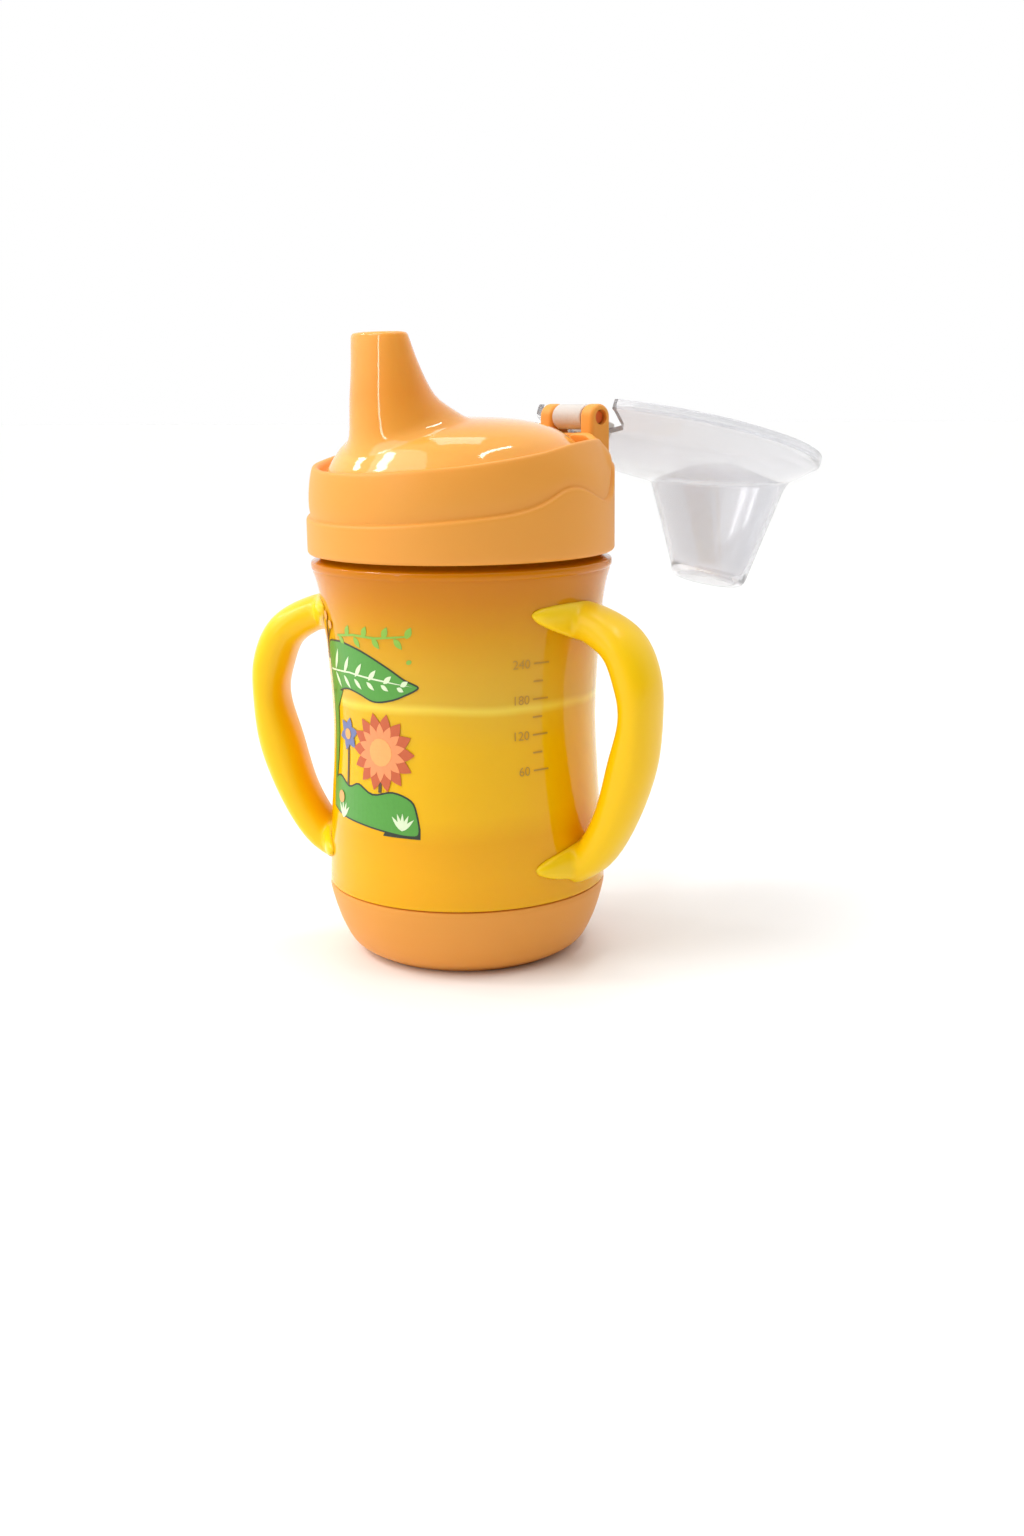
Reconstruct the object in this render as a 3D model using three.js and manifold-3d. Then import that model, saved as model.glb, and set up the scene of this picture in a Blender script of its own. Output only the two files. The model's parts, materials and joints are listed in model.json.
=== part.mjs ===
// Toddler's sippy cup: two-handled waisted cup, push-on base boot, screw lid with a
// domed spout, and a clear flip cover on a pin hinge.
// Millimetres, +Z up. Origin: centre of the flat foot. -Y is the front, midway between
// the handles, which are both splayed a little towards it.
import * as THREE from 'three';
import { mergeVertices } from 'three/addons/utils/BufferGeometryUtils.js';
import Module from 'manifold-3d';

const wasm = await Module();
wasm.setup();

// ---------------------------------------------------------------- driving dimensions
const GAP = 0.3; // clearance between pieces that seat on each other
const RUN_GAP = 0.35; // radial clearance of the screw thread and the hinge pin
const ROUND = 48; // facets round a large turned piece
const SMALL_ROUND = 20; // facets round a small one

// cup
const BODY_R = 34.4; // outer radius where the cup meets the boot
const WAIST_IN = 2.0; // how far the waist pulls in from BODY_R
const WALL = 2.2;
const FLOOR_UP = 3.3; // inside floor above the boot's seam
const FLOOR_T = 2.2;
const FLOOR_CORNER = 3; // rounding between the floor and the side
const BODY_TOP_Z = 97.4; // top of the bead below the collar
const NECK_H = 12; // neck above the bead
const BEAD_H = 2.4;
const BEAD_IN = 0.6; // the bead is this much narrower than the collar
const SHOULDER_H = 12.4; // height of the flare below the bead's top
const SHOULDER_OUT = 1.7; // the flare's foot beyond the waist

// base boot
const BOOT_H = 17.7;
const FOOT_IN = 8.6; // the foot is this much narrower than the cup
const BOOT_WALL = 2.2;
const SKIRT_H = 4.7; // depth that the cup's skirt reaches into the boot
const SKIRT_T = 2;
const SNAP = 0.35; // height of the snap ring on the skirt

// screw collar
const COLLAR_R = 37;
const COLLAR_WALL = 2.1;
const COLLAR_LIFT = 1.2; // gap seen between the bead and the collar
const RIM_IN = 1.7; // the rim is this much narrower than the collar
const RIM_H = 24.4; // mean height of the rim above the collar's lower edge
const BAND_H = 6.8; // height of the plain gripping band
const RIM_SLOPE = 0.13; // rise of the rim per millimetre towards the hinge
const RIM_RISE = 1.6; // near the hinge the rim rises no further than this
const TROUGH_DEPTH = 1.5;
const EDGE_R = 1; // rounding of the lower edge
const RIM_WALL = 2;

// thread: four starts on the neck and inside the collar
const STARTS = 4;
const LEAD = 16; // rise per turn
const THREAD_D = 1.1;
const THREAD_W = 1.6;
const THREAD_ARC = 80; // degrees that each start covers
const THREAD_UP = 4.1; // foot of the neck thread above the bead

// seal, dome and spout
const SEAL_T = 1.6;
const SEAL_W = 3.8;
const FLANGE_T = 1.6;
const DOME_IN = 4.4; // the dome is this much narrower than the collar
const DOME_H = 17.1; // dome above its flange
const DOME_WALL = 2;
const DOME_GAP = 0.4; // clearance round the dome inside the collar's lip
const SPOUT_H = 36.3; // spout tip above the flange
const SPOUT_IN = 10.4; // spout tip inside the dome's edge
const SPOUT_ROOT = 0.42; // share of the spout's height where it leaves the dome
const TIP_HALF_X = 8.5;
const TIP_HALF_Y = 5.4;
const SPOUT_WALL = 2;
const DRINK_HOLE_R = 1.1;
const VENT_HOLE_R = 0.9;
const VENT_OFF = 14;
const KEY_W = 6; // key that stops the dome turning in the collar
const KEY_OUT = 1.1;

// silicone valve
const STUB_R = 5.8; // tube that the valve pushes onto
const STUB_BORE_R = 4.2;
const STUB_BACK = 2.6; // the tube is this much nearer the axis than the tip
const STUB_DOWN = 14.6; // foot of the tube below the dome's top
const VALVE_WALL = 1.4;
const VALVE_H = 6;
const VENT_CAP_R = 3.4;
const VENT_CAP_H = 3.2;
const SLIT_W = 6;
const SLIT_GAP = 0.3;
const STRAP_W = 5;

// hinge
const PIN_IN = 0.8; // pin inside the collar's radius
const PIN_UP = 30.9; // pin above the collar's lower edge
const PIN_R = 1.5;
const PIN_SINK = 1.2; // depth of the pin's ends in the ears
const EAR_HALF = 3.2; // half depth of an ear, and the radius of its top
const EAR_T = 4.6;
const KNUCKLE_W = 10.4;
const KNUCKLE_R = 3.1;
const EAR_FOOT_UP = 9; // foot of the ears above the collar's lower edge
const EAR_LIP_UP = 14; // where the ears stand clear of the collar
const WEB_GAP = 0.8; // room between the knuckle and the web below it

// flip cover
const COVER_OVER = 1; // cover rim beyond the collar
const COVER_WALL = 1.5;
const COVER_BAND = 2.8;
const COVER_STEP = 0.9; // step from the band in to the dish
const COVER_DISH = 13.1; // dish above the cover's rim
const POCKET_OVER = 5; // pocket end above the spout tip
const POCKET_OUT = 2.1; // pocket end further from the axis than the tip
const POCKET_HALF_X = 12;
const POCKET_HALF_Y = 8.5;
const POCKET_EDGE = 2.4; // rounding of the pocket's end
const ROOT_IN = 3; // pocket root nearer the axis than the tip
const ROOT_HALF_X = 19.8;
const ROOT_HALF_Y = 17.3;
const ROOT_DOWN = 2.6; // pocket root below the top of the dish
const COVER_DROP = 2.2; // closed cover's edge hangs this far below the rim
const COVER_SLOPE = 0.105; // rise of the cover's edge per millimetre towards the hinge
const COVER_OPEN = 201; // degrees from closed to its stop
const NOTCH_GAP = 1.1; // room round the ears for the cover to swing back
const ARM_IN = 6.6; // arm's length from the pin into the dish
const ARM_BELOW = 1.6;
const ARM_ABOVE = 2;

// handles
const HANDLE_SPLAY = 11.5; // degrees that each handle leans towards the front
const GRIP_OUT = 14.8; // centreline of the grip beyond the cup's foot
const HANDLE_TOP_DOWN = 13.4; // handle's upper end below the bead's top
const HANDLE_LOW_UP = 5.3; // handle's lower end above the boot's seam
const HANDLE_ROOT = 5; // depth of its ends before the cup is cut away
const GRIP_HALF_R = 4.8; // half thickness, radially
const GRIP_HALF_T = 7.3; // half width, across
const LID_TURN = -30; // where the lid stops when it is screwed down, from above

// ---------------------------------------------------------------- derived places
const COLLAR_Z = BODY_TOP_Z + COLLAR_LIFT;
const NECK_TOP_Z = BODY_TOP_Z + NECK_H;
const RIM_Z = COLLAR_Z + RIM_H;
const RIM_R = COLLAR_R - RIM_IN;
const BORE_R = COLLAR_R - COLLAR_WALL; // thread root inside the collar
const NECK_R = BORE_R - THREAD_D - RUN_GAP;
const BEAD_R = COLLAR_R - BEAD_IN;
const SEAL_Z = NECK_TOP_Z + GAP;
const FLANGE_Z = SEAL_Z + SEAL_T + GAP;
const FLANGE_TOP_Z = FLANGE_Z + FLANGE_T;
const FLANGE_R = BORE_R - RUN_GAP;
const SHELF_Z = FLANGE_TOP_Z + GAP; // underside of the collar's lip
const DOME_R = COLLAR_R - DOME_IN;
const SPOUT_OFF = DOME_R - SPOUT_IN; // spout tip from the axis
const DOME_TOP_Z = FLANGE_TOP_Z + DOME_H;
const TIP_Z = FLANGE_TOP_Z + SPOUT_H;
const PIN_OFF = COLLAR_R - PIN_IN; // pin from the axis
const PIN_Z = COLLAR_Z + PIN_UP;
const COVER_R = COLLAR_R + COVER_OVER;
const COVER_Z = RIM_Z - COVER_DROP;
const WAIST_R = BODY_R - WAIST_IN;
const SKIRT_R = BODY_R - BOOT_WALL - GAP;
const SKIRT_Z = BOOT_H - SKIRT_H;
const FOOT_R = BODY_R - FOOT_IN;
const FLOOR_Z = BOOT_H + FLOOR_UP;
const SIDE_H = BODY_TOP_Z - BOOT_H;
const SHOULDER_R = WAIST_R + SHOULDER_OUT;
const SHOULDER_Z = BODY_TOP_Z - SHOULDER_H;
const HANDLE_REACH = BODY_R + GRIP_OUT;
const HANDLE_TOP_Z = BODY_TOP_Z - HANDLE_TOP_DOWN;
const HANDLE_LOW_Z = BOOT_H + HANDLE_LOW_UP;
const EAR_X = KNUCKLE_W / 2 + GAP;

// ---------------------------------------------------------------- shape tools
function toSolid(geometry) {
  const bare = geometry.index ? geometry.toNonIndexed() : geometry.clone();
  bare.deleteAttribute('normal');
  bare.deleteAttribute('uv');
  const merged = mergeVertices(bare, 1e-4);
  const corners = merged.index.array;
  const kept = [];
  for (let i = 0; i < corners.length; i += 3) {
    const [a, b, c] = corners.slice(i, i + 3);
    if (a !== b && b !== c && c !== a) kept.push(a, b, c);
  }
  return new wasm.Manifold(new wasm.Mesh({
    numProp: 3,
    vertProperties: new Float32Array(merged.attributes.position.array),
    triVerts: new Uint32Array(kept),
  }));
}

function toGeometry(solid) {
  const { vertProperties, triVerts } = solid.getMesh();
  const geometry = new THREE.BufferGeometry();
  geometry.setAttribute('position', new THREE.BufferAttribute(new Float32Array(vertProperties), 3));
  geometry.setIndex(new THREE.BufferAttribute(new Uint32Array(triVerts), 1));
  geometry.computeVertexNormals();
  return geometry;
}

// a solid of revolution about Z, from a closed outline of [radius, height] points
function turned(outline, facets = ROUND) {
  const points = outline.map(([r, z]) => new THREE.Vector2(r, z));
  if (THREE.ShapeUtils.area(points) < 0) points.reverse();
  points.push(points[0].clone());
  return toSolid(new THREE.LatheGeometry(points, facets).rotateX(Math.PI / 2));
}

// moves every vertex of a solid by a rule
const bent = (solid, rule) => solid.warp((v) => rule(v));

// a solid through elliptical rings; each ring has a middle, two unit directions and halves
function lofted(rings, facets = SMALL_ROUND) {
  const geometry = new THREE.CylinderGeometry(1, 1, 1, facets, rings.length - 1);
  const spots = geometry.attributes.position;
  const spot = new THREE.Vector3();
  for (let i = 0; i < spots.count; i += 1) {
    spot.fromBufferAttribute(spots, i);
    const ring = rings[Math.round((0.5 - spot.y) * (rings.length - 1))];
    const place = ring.middle.clone();
    place.addScaledVector(ring.u, spot.x * ring.halfU);
    place.addScaledVector(ring.v, spot.z * ring.halfV);
    spots.setXYZ(i, place.x, place.y, place.z);
  }
  return toSolid(geometry);
}

const ringAt = (y, z, halfX, halfY) => ({
  middle: new THREE.Vector3(0, y, z),
  u: new THREE.Vector3(1, 0, 0),
  v: new THREE.Vector3(0, 1, 0),
  halfU: halfX,
  halfV: halfY,
});

function box(x0, x1, y0, y1, z0, z1) {
  const geometry = new THREE.BoxGeometry(x1 - x0, y1 - y0, z1 - z0);
  geometry.translate((x0 + x1) / 2, (y0 + y1) / 2, (z0 + z1) / 2);
  return toSolid(geometry);
}

// a round bar along X
function crossBar(radius, halfLength, y, z, x = 0) {
  const geometry = new THREE.CylinderGeometry(radius, radius, 2 * halfLength, SMALL_ROUND);
  geometry.rotateZ(Math.PI / 2).translate(x, y, z);
  return toSolid(geometry);
}

function upright(radius, x, y, z0, z1) {
  const geometry = new THREE.CylinderGeometry(radius, radius, z1 - z0, SMALL_ROUND);
  geometry.rotateX(Math.PI / 2).translate(x, y, (z0 + z1) / 2);
  return toSolid(geometry);
}

// an outline in the Y-Z plane, pushed out along X
function slab(outline, x0, x1) {
  const points = outline.map(([y, z]) => new THREE.Vector2(y, z));
  const geometry = new THREE.ExtrudeGeometry(new THREE.Shape(points), {
    depth: x1 - x0,
    bevelEnabled: false,
  });
  geometry.rotateY(Math.PI / 2).rotateX(Math.PI / 2).translate(x0, 0, 0);
  return toSolid(geometry);
}

// ridges of a multi-start thread; outwards is +1 on a neck and -1 in a bore, and the
// first start begins at firstDeg
function threadRidges(rootR, footZ, outwards, firstDeg = 0) {
  const steps = 10;
  const section = new THREE.Shape([
    new THREE.Vector2(-0.5, 0),
    new THREE.Vector2(THREAD_D, THREAD_W * 0.25),
    new THREE.Vector2(THREAD_D, THREAD_W * 0.75),
    new THREE.Vector2(-0.5, THREAD_W),
  ]);
  const bar = new THREE.ExtrudeGeometry(section, { depth: 1, steps, bevelEnabled: false });
  let ridges = null;
  for (let start = 0; start < STARTS; start += 1) {
    const ridge = bar.clone();
    const spots = ridge.attributes.position;
    for (let i = 0; i < spots.count; i += 1) {
      const along = spots.getZ(i) * THREAD_ARC;
      const angle = THREE.MathUtils.degToRad(firstDeg + along + (start * 360) / STARTS);
      const radius = rootR + outwards * spots.getX(i);
      const height = footZ + spots.getY(i) + (LEAD * along) / 360;
      spots.setXYZ(i, radius * Math.cos(angle), radius * Math.sin(angle), height);
    }
    if (outwards > 0) flipFaces(ridge);
    const solid = toSolid(ridge);
    ridges = ridges ? ridges.add(solid) : solid;
  }
  return ridges;
}

function flipFaces(geometry) {
  const spots = geometry.attributes.position;
  const a = new THREE.Vector3();
  const b = new THREE.Vector3();
  for (let i = 0; i < spots.count; i += 3) {
    a.fromBufferAttribute(spots, i);
    b.fromBufferAttribute(spots, i + 1);
    spots.setXYZ(i, b.x, b.y, b.z);
    spots.setXYZ(i + 1, a.x, a.y, a.z);
  }
}

// ---------------------------------------------------------------- cup
const SIDE = new THREE.SplineCurve([
  [BODY_R, BOOT_H + GAP],
  [BODY_R - 0.4, BOOT_H + 0.12 * SIDE_H],
  [WAIST_R + 0.8, BOOT_H + 0.28 * SIDE_H],
  [WAIST_R, BOOT_H + 0.5 * SIDE_H],
  [WAIST_R + 0.6, BOOT_H + 0.69 * SIDE_H],
  [SHOULDER_R, SHOULDER_Z],
  [THREE.MathUtils.lerp(SHOULDER_R, BEAD_R, 0.35), SHOULDER_Z + 0.45 * SHOULDER_H],
  [BEAD_R - 0.4, BODY_TOP_Z - BEAD_H - 0.6],
].map(([r, z]) => new THREE.Vector2(r, z))).getPoints(11);

function sideRadius(z) {
  const above = SIDE.findIndex((point) => point.y >= z);
  if (above < 0) return SIDE.at(-1).x;
  if (above === 0) return SIDE[0].x;
  const [low, high] = [SIDE[above - 1], SIDE[above]];
  return THREE.MathUtils.mapLinear(z, low.y, high.y, low.x, high.x);
}

function makeCupBody() {
  const inside = (z) => Math.min(sideRadius(z) - WALL, NECK_R - WALL);
  const cornerZ = FLOOR_Z + FLOOR_CORNER;
  const inner = SIDE.map((point) => point.y).filter((z) => z > cornerZ + 1).reverse();
  const skirtIn = SKIRT_R - SKIRT_T;
  const snapZ = (SKIRT_Z + BOOT_H) / 2;
  const outline = [
    [0, FLOOR_Z - FLOOR_T],
    [skirtIn, FLOOR_Z - FLOOR_T],
    [skirtIn, SKIRT_Z],
    [SKIRT_R, SKIRT_Z],
    [SKIRT_R, snapZ - 2 * SNAP],
    [SKIRT_R + SNAP, snapZ],
    [SKIRT_R, snapZ + 2 * SNAP],
    [SKIRT_R, BOOT_H + GAP],
    ...SIDE.map((point) => [point.x, point.y]),
    [BEAD_R, BODY_TOP_Z - BEAD_H],
    [BEAD_R, BODY_TOP_Z - 0.4],
    [BEAD_R - 0.4, BODY_TOP_Z],
    [NECK_R, BODY_TOP_Z + 0.4],
    [NECK_R, NECK_TOP_Z],
    [NECK_R - WALL, NECK_TOP_Z],
    ...inner.map((z) => [inside(z), z]),
    [inside(cornerZ), cornerZ],
    [inside(FLOOR_Z) - 0.3 * FLOOR_CORNER, FLOOR_Z + 0.3 * FLOOR_CORNER],
    [inside(FLOOR_Z) - FLOOR_CORNER, FLOOR_Z],
    [0, FLOOR_Z],
  ];
  return turned(outline).add(threadRidges(NECK_R, BODY_TOP_Z + THREAD_UP, 1));
}

// everything within a clearance of the cup's side, to shape the handles' pads
function cupEnvelope() {
  const outline = SIDE.map((point) => [point.x + GAP, point.y]);
  return turned([[0, 0], [BODY_R + GAP, 0], ...outline, [BEAD_R, BODY_TOP_Z], [0, BODY_TOP_Z]]);
}

function makeHandle() {
  const span = HANDLE_TOP_Z - HANDLE_LOW_Z;
  const line = new THREE.CatmullRomCurve3([
    [BODY_R - HANDLE_ROOT, HANDLE_TOP_Z],
    [BODY_R + 3, HANDLE_TOP_Z - 1.2],
    [HANDLE_REACH - 3.4, HANDLE_TOP_Z - 6.6],
    [HANDLE_REACH - 0.3, HANDLE_TOP_Z - 14],
    [HANDLE_REACH, HANDLE_LOW_Z + 0.64 * span],
    [HANDLE_REACH - 1.8, HANDLE_LOW_Z + 0.44 * span],
    [HANDLE_REACH - 6.4, HANDLE_LOW_Z + 0.22 * span],
    [BODY_R + 2, HANDLE_LOW_Z + 4],
    [BODY_R - HANDLE_ROOT, HANDLE_LOW_Z],
  ].map(([x, z]) => new THREE.Vector3(x, 0, z)));
  const rings = [];
  const steps = 20;
  for (let i = 0; i <= steps; i += 1) {
    const t = i / steps;
    const forward = line.getTangentAt(t);
    const u = new THREE.Vector3(0, 1, 0).cross(forward);
    const v = forward.clone().cross(u);
    const slim = 1 - 0.14 * Math.abs(2 * t - 1) ** 3;
    rings.push({
      middle: line.getPointAt(t), u, v, halfU: GRIP_HALF_R * slim, halfV: GRIP_HALF_T * slim,
    });
  }
  return lofted(rings, 16).subtract(cupEnvelope());
}

// ---------------------------------------------------------------- boot
function makeBoot() {
  const socketR = BODY_R - BOOT_WALL;
  const snapZ = (SKIRT_Z + BOOT_H) / 2;
  const ledgeZ = SKIRT_Z - GAP;
  const ledgeR = SKIRT_R - SKIRT_T - GAP;
  const swell = BODY_R - FOOT_R;
  const bowl = new THREE.SplineCurve([
    [FOOT_R, 0],
    [FOOT_R + 0.4 * swell, 0.15 * BOOT_H],
    [FOOT_R + 0.67 * swell, 0.4 * BOOT_H],
    [FOOT_R + 0.86 * swell, 0.66 * BOOT_H],
    [BODY_R - 0.1, 0.9 * BOOT_H],
    [BODY_R, BOOT_H],
  ].map(([r, z]) => new THREE.Vector2(r, z))).getPoints(7);
  const outline = [
    [0, 0],
    ...bowl.map((point) => [point.x, point.y]),
    [socketR, BOOT_H],
    [socketR, snapZ + 2 * SNAP],
    [socketR + SNAP, snapZ],
    [socketR, snapZ - 2 * SNAP],
    [socketR, ledgeZ],
    [ledgeR, ledgeZ],
    [FOOT_R + 0.62 * swell - BOOT_WALL, 0.42 * BOOT_H],
    [FOOT_R - 0.5, BOOT_WALL + 1.4],
    [FOOT_R - 3.5, BOOT_WALL],
    [0, BOOT_WALL],
  ];
  return turned(outline);
}

// ---------------------------------------------------------------- seal and dome
function makeSeal() {
  const outer = FLANGE_R - 0.1;
  const inner = outer - SEAL_W;
  const [low, high] = [SEAL_Z, SEAL_Z + SEAL_T];
  return turned([
    [inner, low], [outer, low], [outer, high], [inner, high],
  ]);
}

// the dome's outline from its flange up, grown outwards by a clearance
function domeOutline(grow) {
  const shares = [[1, 0], [0.997, 0.1], [0.976, 0.28], [0.94, 0.4], [0.902, 0.51],
    [0.853, 0.63], [0.752, 0.775], [0.58, 0.9], [0.34, 0.972]];
  const rise = DOME_H + grow;
  return [
    ...shares.map(([r, z]) => [DOME_R * r + grow, FLANGE_TOP_Z + rise * z]),
    [0, DOME_TOP_Z + grow],
  ];
}

// the spout's rings, shrunk by a wall, from below the dome's skin to the tip
function spoutRings(wall, footZ, topZ) {
  const shares = [ // share of height, then the middle and halves as changes from the tip
    [SPOUT_ROOT, 6.6, 4.6, 8.2], [0.5, 5, 3.5, 6.2], [0.56, 3.6, 2.5, 4.6],
    [0.68, 2.2, 1.5, 2.9], [0.81, 1.2, 0.7, 1.5], [0.95, 0.2, 0.1, 0.2], [1, 0, -0.9, -0.9],
  ];
  const rings = shares.map(([t, middle, across, deep]) => ({
    z: FLANGE_TOP_Z + SPOUT_H * t,
    y: -(SPOUT_OFF - middle),
    halfX: TIP_HALF_X + across - wall,
    halfY: TIP_HALF_Y + deep - wall,
  }));
  const inRange = rings.filter((ring) => ring.z > footZ && ring.z < topZ);
  const first = inRange[0];
  const last = inRange.at(-1);
  return [
    ringAt(first.y, footZ, first.halfX, first.halfY),
    ...inRange.map((ring) => ringAt(ring.y, ring.z, ring.halfX, ring.halfY)),
    ringAt(last.y, topZ, last.halfX, last.halfY),
  ];
}

const SPOUT_FOOT_Z = FLANGE_TOP_Z + 0.45 * DOME_H; // below the dome's skin
const STUB_Y = -(SPOUT_OFF - STUB_BACK);
const STUB_TOP_Z = FLANGE_TOP_Z + SPOUT_ROOT * SPOUT_H;
const STUB_LOW_Z = DOME_TOP_Z - STUB_DOWN;

function makeDome() {
  const outer = turned([
    [0, FLANGE_Z], [FLANGE_R, FLANGE_Z], [FLANGE_R, FLANGE_TOP_Z], ...domeOutline(0),
  ]);
  const hollow = turned([
    [0, FLANGE_Z - 1], [DOME_R - DOME_WALL, FLANGE_Z - 1], ...domeOutline(-DOME_WALL),
  ]);
  const tipBottom = TIP_Z - SPOUT_WALL;
  const spout = lofted(spoutRings(0, SPOUT_FOOT_Z, TIP_Z + 0.01), 24);
  const bore = lofted(spoutRings(SPOUT_WALL, STUB_TOP_Z, tipBottom), 24);
  const plug = lofted(spoutRings(0.5, SPOUT_FOOT_Z, STUB_TOP_Z + 1), 24);
  const stub = upright(STUB_R, 0, STUB_Y, STUB_LOW_Z, STUB_TOP_Z);
  const key = box(-KEY_W / 2, KEY_W / 2, DOME_R, FLANGE_R + KEY_OUT, FLANGE_Z, FLANGE_TOP_Z);
  let dome = outer.add(spout).subtract(hollow.subtract(plug)).add(stub).add(key);
  dome = dome.subtract(bore);
  dome = dome.subtract(upright(STUB_BORE_R, 0, STUB_Y, STUB_LOW_Z - 1, STUB_TOP_Z + 1));
  for (const x of [-4, 0, 4]) {
    dome = dome.subtract(upright(DRINK_HOLE_R, x, -SPOUT_OFF, tipBottom - 1, TIP_Z + 1));
  }
  return dome.subtract(upright(VENT_HOLE_R, 0, VENT_OFF, FLANGE_TOP_Z, DOME_TOP_Z + 1));
}

// two silicone caps on one strap: the slit cap closes the spout, the small one the vent
function makeValve() {
  const bore = STUB_R + GAP;
  const capR = bore + VALVE_WALL;
  const lowZ = STUB_LOW_Z - GAP - VALVE_WALL;
  const floorZ = lowZ + VALVE_WALL;
  const cap = upright(capR, 0, STUB_Y, lowZ, lowZ + VALVE_H);
  const mouth = upright(bore, 0, STUB_Y, floorZ, lowZ + VALVE_H + 1);
  const ventCap = upright(VENT_CAP_R, 0, VENT_OFF, lowZ, lowZ + VENT_CAP_H);
  const ventCup = upright(VENT_CAP_R - VALVE_WALL, 0, VENT_OFF, floorZ, lowZ + VENT_CAP_H + 1);
  const strap = box(-STRAP_W / 2, STRAP_W / 2, STUB_Y, VENT_OFF, lowZ, floorZ);
  const slit = box(-SLIT_W / 2, SLIT_W / 2, STUB_Y - SLIT_GAP / 2, STUB_Y + SLIT_GAP / 2,
    lowZ - 1, floorZ + 1);
  return cap.add(ventCap).add(strap).subtract(mouth).subtract(ventCup).subtract(slit);
}

// ---------------------------------------------------------------- collar and hinge
// tips a turned shape so that its top rises towards the hinge, by no more than most
function sloped(solid, fromZ, toZ, slope = RIM_SLOPE, most = RIM_RISE) {
  return bent(solid, (v) => {
    const share = THREE.MathUtils.clamp((v[2] - fromZ) / (toZ - fromZ), 0, 1);
    v[2] += share * Math.min(slope * v[1], most);
  });
}

function makeCollar() {
  const bandZ = COLLAR_Z + BAND_H;
  const bevel = 0.3 * EDGE_R;
  // [how far the skin lies inside the band, share of the way from the rim down to the band]
  const upper = [[0.2, 0.65], [0.5, 0.48], [0.8, 0.33], [1.4, 0.17], [RIM_IN, 0.03]];
  const skin = turned([
    [0, COLLAR_Z], [COLLAR_R - EDGE_R, COLLAR_Z], [COLLAR_R - bevel, COLLAR_Z + bevel],
    [COLLAR_R, COLLAR_Z + EDGE_R], [COLLAR_R, bandZ],
    ...upper.map(([inset, share]) => [
      COLLAR_R - inset, THREE.MathUtils.lerp(RIM_Z, bandZ, share),
    ]),
    [RIM_R - 0.4, RIM_Z], [0, RIM_Z],
  ]);
  const earOutY = PIN_OFF + EAR_HALF;
  const earInY = PIN_OFF - EAR_HALF;
  const footZ = COLLAR_Z + EAR_FOOT_UP;
  const foot = [
    [earInY, footZ], [COLLAR_R - EDGE_R, footZ], [earOutY, COLLAR_Z + EAR_LIP_UP],
  ];
  const arch = [];
  for (let i = 0; i <= 12; i += 1) {
    const angle = (Math.PI * i) / 12;
    arch.push([PIN_OFF + EAR_HALF * Math.cos(angle), PIN_Z + EAR_HALF * Math.sin(angle)]);
  }
  const webTop = PIN_Z - KNUCKLE_R - WEB_GAP;
  const earOutline = [...foot, ...arch];
  const earOuterX = EAR_X + EAR_T;
  let collar = sloped(skin, bandZ, RIM_Z)
    .add(slab(earOutline, EAR_X, earOuterX))
    .add(slab(earOutline, -earOuterX, -EAR_X))
    .add(slab([...foot, [earOutY, webTop], [earInY + 1, webTop]], -EAR_X, EAR_X));
  const troughR = RIM_R - RIM_WALL;
  const shelf = RIM_Z - TROUGH_DEPTH;
  const clearZ = PIN_Z + 3 * EAR_HALF;
  const trough = sloped(turned([[0, shelf], [troughR, shelf], [troughR, clearZ],
    [0, clearZ]]), COLLAR_Z, shelf);
  const bore = turned([[0, COLLAR_Z - 1], [BORE_R, COLLAR_Z - 1], [BORE_R, SHELF_Z],
    [0, SHELF_Z]]);
  const keyway = box(-KEY_W / 2 - GAP, KEY_W / 2 + GAP, 0, FLANGE_R + KEY_OUT + GAP,
    COLLAR_Z - 1, SHELF_Z);
  const domeRoom = turned([
    [0, SHELF_Z - 3], [DOME_R + DOME_GAP, SHELF_Z - 3], ...domeOutline(DOME_GAP),
  ]);
  collar = collar.subtract(trough).subtract(bore).subtract(domeRoom);
  const threadZ = BODY_TOP_Z + THREAD_UP - LEAD / STARTS / 2;
  const ridges = threadRidges(BORE_R, threadZ, -1, -LID_TURN);
  collar = collar.add(ridges).subtract(keyway);
  return collar.subtract(crossBar(PIN_R + RUN_GAP, earOuterX + 1, PIN_OFF, PIN_Z));
}

function makePin() {
  const half = EAR_X + EAR_T - PIN_SINK;
  return crossBar(PIN_R, half, PIN_OFF, PIN_Z);
}

// ---------------------------------------------------------------- flip cover
// drawn closed, about the cup's axis; the group that holds it swings it open
function coverSkin(grow) {
  const [r, z] = [COVER_R, COVER_Z];
  const top = COVER_DISH + grow;
  const shares = [[0.895, 0.41], [0.74, 0.66], [0.53, 0.855], [0.26, 0.97], [0, 1]];
  return sloped(turned([
    [0, z - (grow < 0 ? 1 : 0)], [r + grow, z - (grow < 0 ? 1 : 0)], [r + grow, z + COVER_BAND],
    [r + grow - COVER_STEP, z + COVER_BAND + COVER_STEP / 3],
    ...shares.map(([rr, zz]) => [rr * (r + grow), z + top * zz]),
  ]), COLLAR_Z, COVER_Z, COVER_SLOPE, COLLAR_R);
}

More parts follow.
